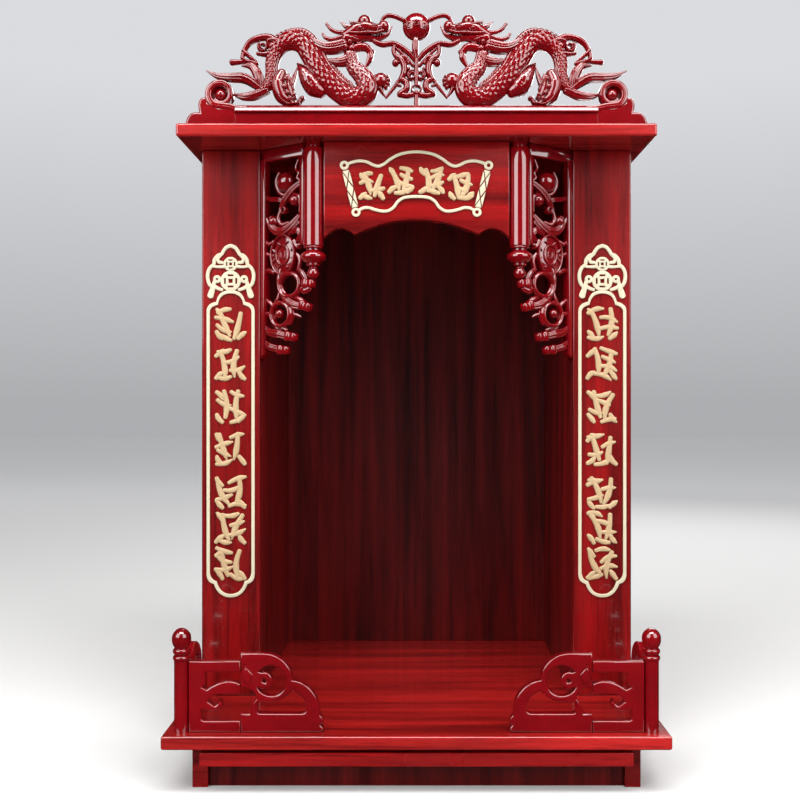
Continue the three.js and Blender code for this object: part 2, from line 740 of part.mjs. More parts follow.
function buildCrest() {
  const oneSide = [
    crestCloudEnd(), ...crestVolute(), ...dragonBody(), ...dragonHead(),
    ...dragonForeleg(), ...dragonHindlegs(), ...dragonTail(),
  ];
  const crest = toGeometry(joinAll([crestRail(), ...withMirror(oneSide), ...pearlAndKnot()]));
  const y = frontY + crestSetback + crestDepth / 2;
  addPiece('dragon_crest', crest, carvedLacquer, 0, y, roofTopZ + glueLine);
}

// Gilt frames. Each outline runs up its right half from the axis to the axis; inset 0 is the
// outer edge and the line's own width the inner one.

function symmetricOutline(start, steps) {
  const half = new THREE.Path();
  half.moveTo(...start);
  const right = addLinesAndArcs(half, steps).getPoints(2);
  const left = right.slice(1, -1).reverse().map((point) => new THREE.Vector2(-point.x, point.y));
  return [...right, ...left];
}

function framePlate(outline, width) {
  const shape = new THREE.Shape(outline(0));
  shape.holes.push(new THREE.Path(outline(width).reverse()));
  return plate(shape, giltThickness);
}

function holePath(start, steps) {
  const hole = new THREE.Path();
  hole.moveTo(...start);
  return addLinesAndArcs(hole, steps);
}

function coupletOutline(inset) {
  const side = coupletHalfWidth - inset;
  const top = coupletLength;
  return symmetricOutline([0, inset], [
    [12 - inset / 2, inset, 16.5 - 0.88 * inset, 13.2 + 0.82 * inset],
    [side - 0.5, 14.5 + 0.8 * inset, side, 22 + inset],
    [side, top - 2 - 0.3 * inset],
    [side - 0.5, top + 5.2 - inset, 14 - 0.5 * inset, top + 6.7 - 0.95 * inset],
    [12.2 - 0.4 * inset, top + 18 - inset, 0, top + 18 - inset],
  ]);
}

function squareHole(x, z, half) {
  return holePath([x - half, z - half], [
    [x - half, z + half], [x + half, z + half], [x + half, z - half], [x - half, z - half],
  ]);
}

// The crown of a couplet frame: three lobes a side round two coins, with a curled tail below.
function crownPlate() {
  const z = coupletLength;
  const shape = new THREE.Shape(symmetricOutline([0, z + 15], [
    [7, z + 17.2], [10.4, z + 22.6], [14.4, z + 19.4], [15.4, z + 11.6],
    [18.4, z + 6, 22.6, z + 10],
    [22.4, z + 17, 20.8, z + 21.4],
    [27.4, z + 30, 17.9, z + 41.5],
    [20.4, z + 51.4, 8.6, z + 54],
    [7.6, z + 63.4, 0, z + 63.4],
  ]));
  const sideHole = (sign) => holePath([sign * 9.4, z + 35.4], [
    [sign * 14.6, z + 38.8],
    [sign * 21.4, z + 33, sign * 18.6, z + 27],
    [sign * 15.6, z + 31.4], [sign * 11.4, z + 31.4], [sign * 9.4, z + 35.4],
  ]);
  const topHole = holePath([-5, z + 52.4], [
    [-3.6, z + 59.8, 0, z + 59.8],
    [3.6, z + 59.8, 5, z + 52.4],
    [-5, z + 52.4],
  ]);
  const coinHoles = [squareHole(0, z + 27.3, 2), squareHole(0, z + 43.8, 1.5)];
  shape.holes.push(sideHole(-1), sideHole(1), topHole, ...coinHoles);
  return plate(shape, giltThickness, 2);
}

function coupletFrame() {
  return toGeometry(joinAll([framePlate(coupletOutline, giltLine), crownPlate()]));
}

function plaqueOutline(inset) {
  return symmetricOutline([0, 12.7 + inset], [
    [14.5 + 0.3 * inset, 12.7 + inset, 18.2 + 0.5 * inset, 7.4 + 0.9 * inset],
    [20.8 + 0.5 * inset, inset - 1.4, 30.5, inset - 1.7],
    [38, inset - 1.4, 44, 2.6 + inset],
    [50, 5.2 + inset, 54 - 0.4 * inset, 1.4 + inset],
    [59.5 - 2.2 * inset, 1 + 1.2 * inset], [69.6 - 2.6 * inset, 43], [66 - 1.5 * inset, 45.6 - inset],
    [57, 50.6 - inset, 48, 49.8 - inset],
    [42, 48 - inset, 36.7, 44.9 - inset],
    [22, 58.3 - inset, 0, 58.3 - inset],
  ]);
}

// The plaque's outline is drawn 68 wide from the middle, for a header 91 high, and stretched to fit.
function plaqueFrame() {
  const corners = [[68, 44.4], [57, 0]].map(([x, z]) => {
    const shape = new THREE.Shape();
    shape.absarc(x, z, 4.2, 0, 2 * Math.PI, false);
    return plate(shape, giltThickness, 4);
  });
  const frame = toGeometry(joinAll([framePlate(plaqueOutline, plaqueLine), ...withMirror(corners)]));
  return frame.scale((hangingPostX - plaqueInset) / 68, 1, headerDrop / 91);
}

function buildGilding() {
  const onStileY = stileFrontY - glueLine - giltThickness / 2;
  const onHeaderY = frontY + headerSetback - glueLine - giltThickness / 2;
  const couplet = coupletFrame();
  const z = standZ + coupletLift;
  addPiece('couplet_frame_left', couplet, giltPaint, -stileCentreX, onStileY, z);
  addPiece('couplet_frame_right', couplet.clone(), giltPaint, stileCentreX, onStileY, z);
  const plaqueZ = pillarTopZ - headerDrop + plaqueLift;
  addPiece('plaque_frame', plaqueFrame(), giltPaint, 0, onHeaderY, plaqueZ);
}

buildBase();
buildPillars();
buildRoof();
buildHeader();
buildHangingPosts();
buildBrackets();
buildFence();
buildCrest();
buildGilding();

export default cabinet;
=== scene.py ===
"""Looks of the household altar cabinet: its carved, turned and rounded pieces, lacquer, light and camera."""

import math
import random

import bpy
import numpy as np
from mathutils import Matrix, Vector


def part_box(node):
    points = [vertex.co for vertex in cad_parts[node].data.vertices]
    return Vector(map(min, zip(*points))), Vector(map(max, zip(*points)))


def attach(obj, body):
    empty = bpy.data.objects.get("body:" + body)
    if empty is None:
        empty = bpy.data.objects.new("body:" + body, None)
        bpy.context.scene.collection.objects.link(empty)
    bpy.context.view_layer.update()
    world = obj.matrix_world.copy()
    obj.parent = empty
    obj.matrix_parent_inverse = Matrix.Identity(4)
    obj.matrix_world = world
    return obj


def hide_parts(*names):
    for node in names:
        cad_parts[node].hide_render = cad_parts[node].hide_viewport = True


MM = 0.001
TINY = 1e-6
QUARTER_TURN = math.pi / 2
FULL_TURN = 2 * math.pi

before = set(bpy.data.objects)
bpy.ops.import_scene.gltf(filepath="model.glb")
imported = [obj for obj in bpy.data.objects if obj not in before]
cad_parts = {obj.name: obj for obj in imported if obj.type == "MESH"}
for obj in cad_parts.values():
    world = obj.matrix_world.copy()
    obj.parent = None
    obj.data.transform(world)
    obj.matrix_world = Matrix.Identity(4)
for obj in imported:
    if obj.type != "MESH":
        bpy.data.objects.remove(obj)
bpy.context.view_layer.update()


# Small helpers for objects


def select_only(*objects):
    bpy.ops.object.select_all(action="DESELECT")
    for piece in objects:
        piece.select_set(True)
    bpy.context.view_layer.objects.active = objects[0]


def named(name):
    """Names the object that the last operator left active."""
    piece = bpy.context.view_layer.objects.active
    piece.name = name
    piece.data.name = name
    return piece


def apply_place(piece):
    select_only(piece)
    bpy.ops.object.transform_apply(location=True, rotation=True, scale=True)
    return piece


def modified(piece, name, kind, **settings):
    """Adds one modifier with its settings and applies it."""
    modifier = piece.modifiers.new(name, kind)
    for setting, value in settings.items():
        setattr(modifier, setting, value)
    select_only(piece)
    bpy.ops.object.modifier_apply(modifier=modifier.name)
    return piece


def even_faces(piece):
    """Flat faces keep one normal right up to their arris, so that long highlights stay straight."""
    return modified(piece, "even_faces", "WEIGHTED_NORMAL", keep_sharp=True)


def smooth(piece, sharp_from=None):
    """Smooth shading. Edges that turn by more than sharp_from degrees stay sharp."""
    select_only(piece)
    if sharp_from is None:
        bpy.ops.object.shade_smooth()
    else:
        bpy.ops.object.shade_smooth_by_angle(angle=math.radians(sharp_from))
    return piece


def joined(name, parts):
    select_only(*parts)
    if len(parts) > 1:
        bpy.ops.object.join()
    return named(name)


def closed_and_outward(piece, weld=2e-7):
    select_only(piece)
    bpy.ops.object.mode_set(mode="EDIT")
    bpy.ops.mesh.select_all(action="SELECT")
    bpy.ops.mesh.remove_doubles(threshold=weld)
    bpy.ops.mesh.normals_make_consistent(inside=False)
    bpy.ops.object.mode_set(mode="OBJECT")
    return piece


def mirrored_copy(piece, name):
    select_only(piece)
    bpy.ops.object.duplicate()
    copy = named(name)
    copy.scale = (-1, 1, 1)
    apply_place(copy)
    return closed_and_outward(copy)


def dressed(piece, node, material):
    """The finished piece rides on the cabinet, stands for its CAD node and takes its finish."""
    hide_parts(node)
    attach(piece, "root")
    piece.data.materials.clear()
    piece.data.materials.append(material)
    return piece


def box_mm(node):
    low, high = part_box(node)
    return low / MM, high / MM


def moved(x, y, z):
    return Matrix.Translation(Vector((x, y, z)) * MM)


# Finishes


def feed(node, inputs):
    """Each named input gets its value, or a link from the output that feeds it."""
    for name, value in inputs.items():
        if isinstance(value, bpy.types.NodeSocket):
            node.id_data.links.new(value, node.inputs[name])
        else:
            node.inputs[name].default_value = value
    return node


def added(tree, kind, inputs=None, **settings):
    """Adds one shader node with its settings and its inputs."""
    node = tree.nodes.new("ShaderNode" + kind)
    for setting, value in settings.items():
        setattr(node, setting, value)
    return feed(node, inputs or {})


def new_material(name):
    """A material with its node tree, its shader and the coordinates of the object that wears it."""
    material = bpy.data.materials.new(name)
    material.use_nodes = True
    tree = material.node_tree
    place = added(tree, "TexCoord").outputs["Object"]
    return material, tree, tree.nodes["Principled BSDF"], place


def new_group(name, inputs, outputs):
    group = bpy.data.node_groups.new(name, "ShaderNodeTree")
    for title, kind, value in inputs:
        socket = group.interface.new_socket(name=title, in_out="INPUT", socket_type="NodeSocket" + kind)
        if value is not None:
            socket.default_value = value
    for title in outputs:
        group.interface.new_socket(name=title, in_out="OUTPUT", socket_type="NodeSocketFloat")
    return group, group.nodes.new("NodeGroupInput"), group.nodes.new("NodeGroupOutput")


def wood_grain_group():
    """Long streaks and fine pores along one axis. The stretch makes the streaks long."""
    group, given, result = new_group(
        "wood_grain",
        [
            ("Coordinates", "Vector", None),
            ("Stretch", "Vector", (60.0, 60.0, 3.0)),
            ("Pore share", "Float", 0.35),
        ],
        ["Streaks", "Pores"],
    )
    place = {0: given.outputs["Coordinates"], 1: given.outputs["Stretch"]}
    stretched = added(group, "VectorMath", place, operation="MULTIPLY").outputs[0]
    wide = added(
        group,
        "TexNoise",
        {"Vector": stretched, "Scale": 1.0, "Detail": 5.0, "Roughness": 0.62, "Distortion": 0.5},
    )
    fine = added(group, "TexNoise", {"Vector": stretched, "Scale": 5.5, "Detail": 3.0, "Roughness": 0.7})
    pores = added(
        group,
        "MapRange",
        {"Value": fine.outputs["Fac"], "From Min": 0.52, "From Max": 0.68},
        interpolation_type="SMOOTHSTEP",
    )
    streaks = added(
        group,
        "Mix",
        {"Factor": given.outputs["Pore share"], "A": wide.outputs["Fac"], "B": fine.outputs["Fac"]},
    )
    feed(result, {"Streaks": streaks.outputs["Result"], "Pores": pores.outputs["Result"]})
    return group


def lacquer_film_group():
    """The slight unevenness of a thick gloss film: a soft mottle and a fine ripple."""
    group, given, result = new_group(
        "lacquer_film",
        [("Coordinates", "Vector", None), ("Ripple size", "Float", 140.0)],
        ["Mottle", "Ripple"],
    )
    place = given.outputs["Coordinates"]
    mottle = added(group, "TexNoise", {"Vector": place, "Scale": 14.0, "Detail": 2.0})
    ripple = added(group, "TexNoise", {"Vector": place, "Scale": given.outputs["Ripple size"], "Detail": 1.0})
    feed(result, {"Mottle": mottle.outputs["Fac"], "Ripple": ripple.outputs["Fac"]})
    return group


WOOD_GRAIN = wood_grain_group()
LACQUER_FILM = lacquer_film_group()
GRAIN_STOPS = (0.37, 0.62)
PORE_DARKENING = (0.45, 0.58, 0.58)
LEAST_ROUGH, MOST_ROUGH = 0.8, 1.25
RIPPLE_HEIGHT = 0.0006
COAT = {"Coat Roughness": 0.06, "Coat IOR": 1.62}


def lacquer(name, dark, light, stretch, roughness, coat, ripple=0.15, specular=0.3, pores=1.0):
    """Glossy lacquer over grain that runs along the axis with the smallest stretch."""
    material, tree, shader, place = new_material(name)
    grain = added(tree, "Group", node_tree=WOOD_GRAIN)
    feed(grain, {"Coordinates": place, "Stretch": stretch})
    film = added(tree, "Group", node_tree=LACQUER_FILM)
    feed(film, {"Coordinates": place})
    tone = added(tree, "ValToRGB", {"Fac": grain.outputs["Streaks"]})
    for stop, position, colour in zip(tone.color_ramp.elements, GRAIN_STOPS, (dark, light)):
        stop.position = position
        stop.color = (*colour, 1)
    pore_colour = (*(1 - darkening * pores for darkening in PORE_DARKENING), 1)
    pored = added(tree, "Mix", data_type="RGBA", blend_type="MULTIPLY")
    feed(pored, {"Factor": grain.outputs["Pores"], "A": tone.outputs["Color"], "B": pore_colour})
    gloss = {"To Min": roughness * LEAST_ROUGH, "To Max": roughness * MOST_ROUGH}
    gloss = added(tree, "MapRange", {"Value": film.outputs["Mottle"], **gloss})
    bump = {"Height": film.outputs["Ripple"], "Strength": ripple, "Distance": RIPPLE_HEIGHT}
    feed(
        shader,
        {
            "Base Color": pored.outputs["Result"],
            "Roughness": gloss.outputs["Result"],
            "Normal": added(tree, "Bump", bump).outputs["Normal"],
            "Specular IOR Level": specular,
            "Coat Weight": coat,
            **COAT,
        },
    )
    return material


def paint(name, dark, light, roughness):
    """Plain brushed paint with a soft mottle."""
    material, tree, shader, place = new_material(name)
    film = added(tree, "Group", node_tree=LACQUER_FILM)
    feed(film, {"Coordinates": place, "Ripple size": 420.0})
    tone = added(tree, "Mix", data_type="RGBA")
    feed(tone, {"Factor": film.outputs["Mottle"], "A": (*dark, 1), "B": (*light, 1)})
    bump = added(tree, "Bump", {"Height": film.outputs["Ripple"], "Strength": 0.2, "Distance": 0.0004})
    feed(
        shader,
        {
            "Base Color": tone.outputs["Result"],
            "Normal": bump.outputs["Normal"],
            "Roughness": roughness,
        },
    )
    return material


UPRIGHT = (55.0, 55.0, 2.6)
LENGTHWISE = (2.6, 55.0, 55.0)
EVEN = (18.0, 18.0, 18.0)
BOARD_UPRIGHT = lacquer(
    "lacquered_board_upright", (0.05, 0.0008, 0.001), (0.22, 0.003, 0.0035), UPRIGHT,
    roughness=0.26, coat=0.6,
)
BOARD_ALONG = lacquer(
    "lacquered_board_along", (0.06, 0.0009, 0.0012), (0.25, 0.0035, 0.004), LENGTHWISE,
    roughness=0.26, coat=0.6,
)
TOP_ALONG = lacquer(
    "lacquered_top", (0.10, 0.002, 0.002), (0.35, 0.010, 0.009), LENGTHWISE,
    roughness=0.24, coat=0.7,
)
# The interior lacquer is the board grain without a coat, in a darker tone. The tone is partly the boards' own
# duller red and partly painted shade for the recessed, shaded boards.
SHADED_INTERIOR = lacquer(
    "lacquered_interior", (0.022, 0.0005, 0.0006), (0.13, 0.002, 0.002), UPRIGHT,
    roughness=0.42, coat=0.0, specular=0.2,
)
CARVED = lacquer(
    "carved_lacquer", (0.105, 0.0010, 0.0025), (0.155, 0.0013, 0.0034), EVEN,
    roughness=0.16, coat=1.0, ripple=0.05, specular=0.15, pores=0.1,
)
GILT = paint("gilt_relief", (0.41, 0.35, 0.24), (0.47, 0.42, 0.305), 0.42)
STROKE = paint("gilt_stroke", (0.325, 0.215, 0.113), (0.39, 0.275, 0.15), 0.42)


def carved(piece, node):
    return dressed(piece, node, CARVED)


# Boards: a cube at the board's size, with rounded arrises


def rounded_board(node, material, rounding):
    low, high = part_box(node)
    bpy.ops.mesh.primitive_cube_add(size=1, location=(low + high) / 2)
    board = named(node + "_rounded")
    board.scale = high - low
    smooth(apply_place(board))
    modified(board, "arris", "BEVEL", width=rounding * MM, segments=3, harden_normals=True)
    return dressed(board, node, material)


# The plinth's kick panel and back rail and the niche's walls and back take the interior lacquer, whose darker
# tone is partly painted shade.
for slot, material, rounding, nodes in (
    ("lacquered_top", TOP_ALONG, 2.2, ("base_board", "roof_board")),
    ("lacquered_top", BOARD_ALONG, 1.0, ("plinth_front_rail",)),
    ("lacquered_board", BOARD_ALONG, 0.8, ("plinth_side_left", "plinth_side_right")),
    ("lacquered_interior", SHADED_INTERIOR, 0.6, ("plinth_kick_panel", "plinth_back_rail")),
    ("lacquered_board", BOARD_UPRIGHT, 1.5, ("stile_left", "stile_right")),
    ("lacquered_board", BOARD_UPRIGHT, 0.6, ("outer_wall_left", "outer_wall_right")),
    ("lacquered_interior", SHADED_INTERIOR, 0.6, ("inner_wall_left", "inner_wall_right", "back_panel")),
):
    for node in nodes:
        rounded_board(node, material, rounding)


# Plates cut to an outline: a flat curve with thickness and rounded arrises

PLATE_SHARP_FROM = 38


def outline(start, steps, samples=8):
    """Points along lines (2 numbers a step), single arcs (4) and double arcs (6)."""
    points = [Vector(start)]
    for step in steps:
        corners = [points[-1], *(Vector(step[i : i + 2]) for i in range(0, len(step), 2))]
        count = 1 if len(corners) == 2 else samples
        for i in range(1, count + 1):
            row = corners
            while len(row) > 1:
                row = [here.lerp(there, i / count) for here, there in zip(row, row[1:])]
            points.append(row[0])
    if (points[0] - points[-1]).length < TINY:
        points.pop()
    return points


def arc(x, z, radius, start, end, samples=20):
    angles = [start + (end - start) * i / samples for i in range(samples + 1)]
    return [Vector((x + radius * math.cos(angle), z + radius * math.sin(angle))) for angle in angles]


def circle(x, z, radius, samples=24):
    return arc(x, z, radius, 0, FULL_TURN, samples)[:-1]


def facing(outlines, sign):
    """The outlines as they are for a sign of 1, and mirrored for -1."""
    return [[Vector((sign * point[0], point[1])) for point in points] for points in outlines]


def cut_plate(name, outlines, thickness, rounding, place, steps=2):
    """outlines are in mm in the plate's own x and z; place puts the plate in the cabinet."""
    curve = bpy.data.curves.new(name, "CURVE")
    curve.dimensions = "2D"
    curve.fill_mode = "BOTH"
    curve.extrude = (thickness / 2 - rounding) * MM
    curve.bevel_depth = rounding * MM
    curve.bevel_resolution = steps
    curve.offset = -rounding * MM
    for points in outlines:
        spline = curve.splines.new("POLY")
        spline.points.add(len(points) - 1)
        for corner, point in zip(spline.points, points):
            corner.co = (point[0] * MM, point[1] * MM, 0, 1)
        spline.use_cyclic_u = True
    plate = bpy.data.objects.new(name, curve)
    bpy.context.scene.collection.objects.link(plate)
    select_only(plate)
    bpy.ops.object.convert(target="MESH")
    plate = bpy.context.view_layer.objects.active
    plate.matrix_world = place @ Matrix.Rotation(QUARTER_TURN, 4, "X")
    apply_place(plate)
    closed_and_outward(plate, TINY)
    return smooth(plate, PLATE_SHARP_FROM)


# Header with its scalloped lower edge

SCALLOP_LENGTH = 29
SCALLOP_RISE = 8
CUSP_RISE = 3
ARCH_RISE = 17


def header_outline(end, drop):
    """end is half the header's length. The lower edge has a scallop at each end and an arch between."""
    cusp = end - SCALLOP_LENGTH
    middle = (end + cusp) / 2
    return outline(
        (-end, 0),
        [
            (-middle, 2 * SCALLOP_RISE, -cusp, CUSP_RISE),
            (0, 2 * ARCH_RISE - CUSP_RISE, cusp, CUSP_RISE),
            (middle, 2 * SCALLOP_RISE, end, 0),
            (end, drop),
            (-end, drop),
            (-end, 0),
        ],
        samples=20,
    )


low, high = box_mm("header_board")
header = cut_plate(
    "header_board_scalloped",
    [header_outline(high.x, high.z - low.z)],
    high.y - low.y,
    0.9,
    moved(0, (low.y + high.y) / 2, low.z),
)
dressed(header, "header_board", BOARD_ALONG)


# Turned posts: a profile drawn by extruding one point, then spun

TURNING_STEPS = 40
TURNING_SHARP_FROM = 50


def sharp(radius, height):
    """A knot given twice, at which the profile keeps a sharp corner."""
    return [(radius, height)] * 2


def smooth_profile(knots, samples=5):
    """A rounded line through the knots."""
    line = [Vector(knots[0])]
    for i in range(len(knots) - 1):
        before = Vector(knots[max(i - 1, 0)])
        start, end = Vector(knots[i]), Vector(knots[i + 1])
        after = Vector(knots[min(i + 2, len(knots) - 1)])
        if (end - start).length < TINY:
            continue
        lean_in = (end - before) / 2 if (start - before).length > TINY else end - start
        lean_out = (after - start) / 2 if (after - end).length > TINY else end - start
        for k in range(1, samples + 1):
            t = k / samples
            cube, square = t**3, t * t
            point = (
                start * (2 * cube - 3 * square + 1)
                + lean_in * (cube - 2 * square + t)
                + end * (3 * square - 2 * cube)
                + lean_out * (cube - square)
            )
            point.x = max(point.x, 0)
            line.append(point)
    return line


def spun(name, profile, x, y, z):
    """profile is a list of radius and height in mm, from the axis to the axis."""
    bpy.ops.mesh.primitive_plane_add(size=MM, location=(0, 0, 0))
    post = named(name)
    bpy.ops.object.mode_set(mode="EDIT")
    bpy.ops.mesh.select_all(action="SELECT")
    bpy.ops.mesh.merge(type="CENTER")
    bpy.ops.transform.translate(value=(profile[0][0] * MM, 0, profile[0][1] * MM))
    for here, there in zip(profile, profile[1:]):
        step = ((there[0] - here[0]) * MM, 0, (there[1] - here[1]) * MM)
        bpy.ops.mesh.extrude_region_move(TRANSFORM_OT_translate={"value": step})
    bpy.ops.mesh.select_all(action="SELECT")
    bpy.ops.mesh.spin(steps=TURNING_STEPS, angle=FULL_TURN, center=(0, 0, 0), axis=(0, 0, 1))
    bpy.ops.object.mode_set(mode="OBJECT")
    closed_and_outward(post, TINY)
    post.location = Vector((x, y, z)) * MM
    return smooth(apply_place(post), TURNING_SHARP_FROM)


def hanging_profile(top):
    """From the foot up: bud, collars, onion, collars, the plain shaft and its stepped top."""
    return smooth_profile([
        (0, 0), (3.4, 0.5), (5.4, 3), (5.7, 5.6), (4.6, 8.6), *sharp(3.6, 10.2), *sharp(3.8, 11.4),
        (6.2, 12), (6.6, 13.2), *sharp(6, 14.4), (8.2, 15.2), (11.6, 18), (12.4, 20.6), (11.4, 23.2),
        (8.6, 25.4), *sharp(6.8, 26.6), *sharp(6.8, 27.8), (8.6, 28.2), (9.4, 29.2), *sharp(8.8, 30.4),
        *sharp(9.8, 31), *sharp(9.8, 33), *sharp(9.8, top - 6.2), (9.2, top - 5.2),
        *sharp(7.6, top - 4.8), *sharp(7.6, top), (0, top),
    ])


def corner_profile(top):
    """A plain shaft with two rings and a bud on it."""
    shaft = top - 27.4
    return smooth_profile([
        (0, 0), *sharp(6.4, 0), *sharp(6.4, shaft - 0.4), (7.1, shaft + 0.2), (7.5, shaft + 1.7),
        (7.1, shaft + 3.2), *sharp(6.2, shaft + 3.9), *sharp(6.2, shaft + 5.2), (7.1, shaft + 6),
        (7.5, shaft + 7.6), (7.1, shaft + 9.2), *sharp(5.8, shaft + 10.2), (6.5, shaft + 11.4),
        (7.8, shaft + 14.4), (8.3, shaft + 18), (7.6, shaft + 22), (5.4, shaft + 25.2), (2.6, shaft + 27),
        (0, top),
    ])


for kind, profile in (("hanging_post", hanging_profile), ("corner_post_front", corner_profile)):
    for side in ("left", "right"):
        node = kind + "_" + side
        low, high = box_mm(node)
        centre = (low + high) / 2
        post = spun(node + "_turned", profile(high.z - low.z), centre.x, centre.y, low.z)
        carved(post, node)


# Fence panels: the same outlines as the solids, cut finer and with bevelled arrises

RAIL_HEIGHT = 62
RAIL_BAR = 10.1
CLOUD_LENGTH = 73
CLOUD_HEIGHT = 68.7
CLOUD_BAR = 10.3
FENCE_THICKNESS = 9
FENCE_ARRIS = 1.8
LEAF_THICKNESS = 11
LEAF_ARRIS = 1.3
LEAF_OUTLINE = [
    (0.9, 46.6), (2.4, 51.6), (4.6, 56.6), (7.2, 54.8), (11.2, 50.2), (9.6, 45.6), (7.4, 41), (4, 43.8),
]


def fence_rail_outline(length):
    return outline(
        (-length, 0),
        [
            (0, 0), (0, 9.9), (-31, 9.9), (-33.8, 10, -33.8, 13), (-33.8, 20), (-25, 16.4, -18, 20),
            (-13.6, 23.5, -18.1, 28.4), (-19.5, 24, -23.1, 22.9), (-27.7, 26.3), (-26.5, 31.2, -19.8, 32.6),
            (0, 32.6), (0, 41.8), (-14, 49, -29.6, 36.9), (-33.2, 38.9), (-30.3, 42.5),
            (-30.3, RAIL_HEIGHT - RAIL_BAR), (0, RAIL_HEIGHT - RAIL_BAR), (0, RAIL_HEIGHT),
            (-length, RAIL_HEIGHT), (-length, 0),
        ],
    )


def crescent_outline(x, z, outer_radius, inner_radius, shift):
    """The opening round the curl, broad above and narrow below, with both tips cut off."""
    ring = arc(x, z, outer_radius, math.pi - 0.62, 0.5 - math.pi)
    back = arc(x - shift, z, inner_radius, 0.95 - math.pi, math.pi - 1.2)
    return ring + back


def cloud_end_outlines():
    """The panel itself, then the three openings in it."""
    body = outline(
        (0, 0),
        [
            (CLOUD_LENGTH - 2, 0),
            (CLOUD_LENGTH + 1, 3, CLOUD_LENGTH - 3.2, 6),
            (CLOUD_LENGTH + 2, 9, CLOUD_LENGTH - 4, 15.7),
            (CLOUD_LENGTH - 3.6, 31, 60, 43.5, 45.4, 45.2),
            (45.5, 58, 34, CLOUD_HEIGHT, 19.8, CLOUD_HEIGHT),
            (0, CLOUD_HEIGHT), (0, CLOUD_HEIGHT - CLOUD_BAR), (4.2, CLOUD_HEIGHT - CLOUD_BAR),
            (1, 53.5, 0, 48.5), (0, 38.6), (10, 40, 14.3, 29.6), (8.5, 24, 7.6, 16.2), (0, 16.2), (0, 0),
        ],
        samples=12,
    )
    lower = outline(
        (17.5, 16.2),
        [
            (15.1, 16.2, 15.1, 18.5), (15.1, 25.6), (28.2, 26), (38, 27.5, 45, 36.3),
            (56.5, 30.5, 57.6, 22), (57.5, 16.4, 52, 16.2), (17.5, 16.2),
        ],
    )
    return [body, crescent_outline(26.5, 44.7, 13.2, 7.6, 6.1), lower, circle(20.6, 44.6, 1.6, 12)]


def side_fence_outlines(length):
    """The cloud end with a short rail before it, open between the two bars."""
    run = length - CLOUD_LENGTH
    shift = Vector((run, 0))
    body, *openings = [[point + shift for point in points] for points in cloud_end_outlines()]
    after = [point for point in body if point.x > run + TINY]
    corners = [(run + 1, CLOUD_HEIGHT), (run, RAIL_HEIGHT), (0, RAIL_HEIGHT)]
    return [[Vector((0, 0)), *after, *map(Vector, corners)], *openings]


def fence_piece(node, outlines, place, *more):
    panel = cut_plate("fence_panel", outlines, FENCE_THICKNESS, FENCE_ARRIS, place)
    carved(even_faces(joined(node + "_cut", [panel, *more])), node)


for side, inward in (("left", 1), ("right", -1)):
    low, high = box_mm("fence_cloud_end_" + side)
    rail_low, rail_high = box_mm("fence_rail_" + side)
    side_low, side_high = box_mm("side_fence_" + side)
    y = (low.y + high.y) / 2
    place = moved(low.x if inward > 0 else high.x, y, low.z)
    raised_leaf = cut_plate("fence_leaf", facing([LEAF_OUTLINE], inward), LEAF_THICKNESS, LEAF_ARRIS, place)
    fence_piece("fence_cloud_end_" + side, facing(cloud_end_outlines(), inward), place, raised_leaf)
    place = moved(rail_high.x if inward > 0 else rail_low.x, y, low.z)
    fence_piece("fence_rail_" + side, facing([fence_rail_outline(rail_high.x - rail_low.x)], inward), place)
    place = moved((side_low.x + side_high.x) / 2, side_low.y, side_low.z)
    place = place @ Matrix.Rotation(QUARTER_TURN, 4, "Z")
    fence_piece("side_fence_" + side, side_fence_outlines(side_high.y - side_low.y), place)


# Carving: bars bent along flat curves, with rounded ends and relief, and balls and scrolls

ROUGH_STEPS = 160
CAP_ROWS = 5
CAP_BULGE = 0.75
SOFTENING = np.array([0.25, 0.5, 0.25])


def curve_points(points, shares):
    """Places on the smooth curve through flat points, at shares from 0 to 1 of its spans."""
    knots = np.array(points, float)
    last = len(knots) - 1
    padded = np.vstack([2 * knots[0] - knots[1], knots, 2 * knots[-1] - knots[-2]])
    place = np.clip(np.asarray(shares, float) * last, 0, last - 1e-9)
    span = place.astype(int)
    t = (place - span)[:, None]
    p0, p1, p2, p3 = (padded[span + i] for i in range(4))
    g0, g1, g2 = (
        np.maximum(np.linalg.norm(b - a, axis=1), 1e-4)[:, None] ** 0.5
        for a, b in ((p0, p1), (p1, p2), (p2, p3))
    )
    lean_in = ((p1 - p0) / g0 - (p2 - p0) / (g0 + g1) + (p2 - p1) / g1) * g1
    lean_out = ((p2 - p1) / g1 - (p3 - p1) / (g1 + g2) + (p3 - p2) / g2) * g1
    return (
        p1 * (2 * t**3 - 3 * t**2 + 1)
        + lean_in * (t**3 - 2 * t**2 + t)
        + p2 * (3 * t**2 - 2 * t**3)
        + lean_out * (t**3 - t**2)
    )


def wrapped_grid(rows, around, shape):
    """A grid primitive wrapped into a closed bar. shape(row, column share) gives each place in mm."""
    bpy.ops.mesh.primitive_grid_add(x_subdivisions=rows - 1, y_subdivisions=around, size=1)
    grid = bpy.context.view_layer.objects.active
    count = len(grid.data.vertices)
    flat = np.empty(count * 3)
    grid.data.vertices.foreach_get("co", flat)
    flat = flat.reshape(-1, 3)
    row = np.rint((flat[:, 0] + 0.5) * (rows - 1)).astype(int)
    column = (flat[:, 1] + 0.5) % 1.0
    places = shape(row, np.where(column > 1 - TINY, 0, column))
    grid.data.vertices.foreach_set("co", (places * MM).ravel())
    grid.data.update()
    return grid


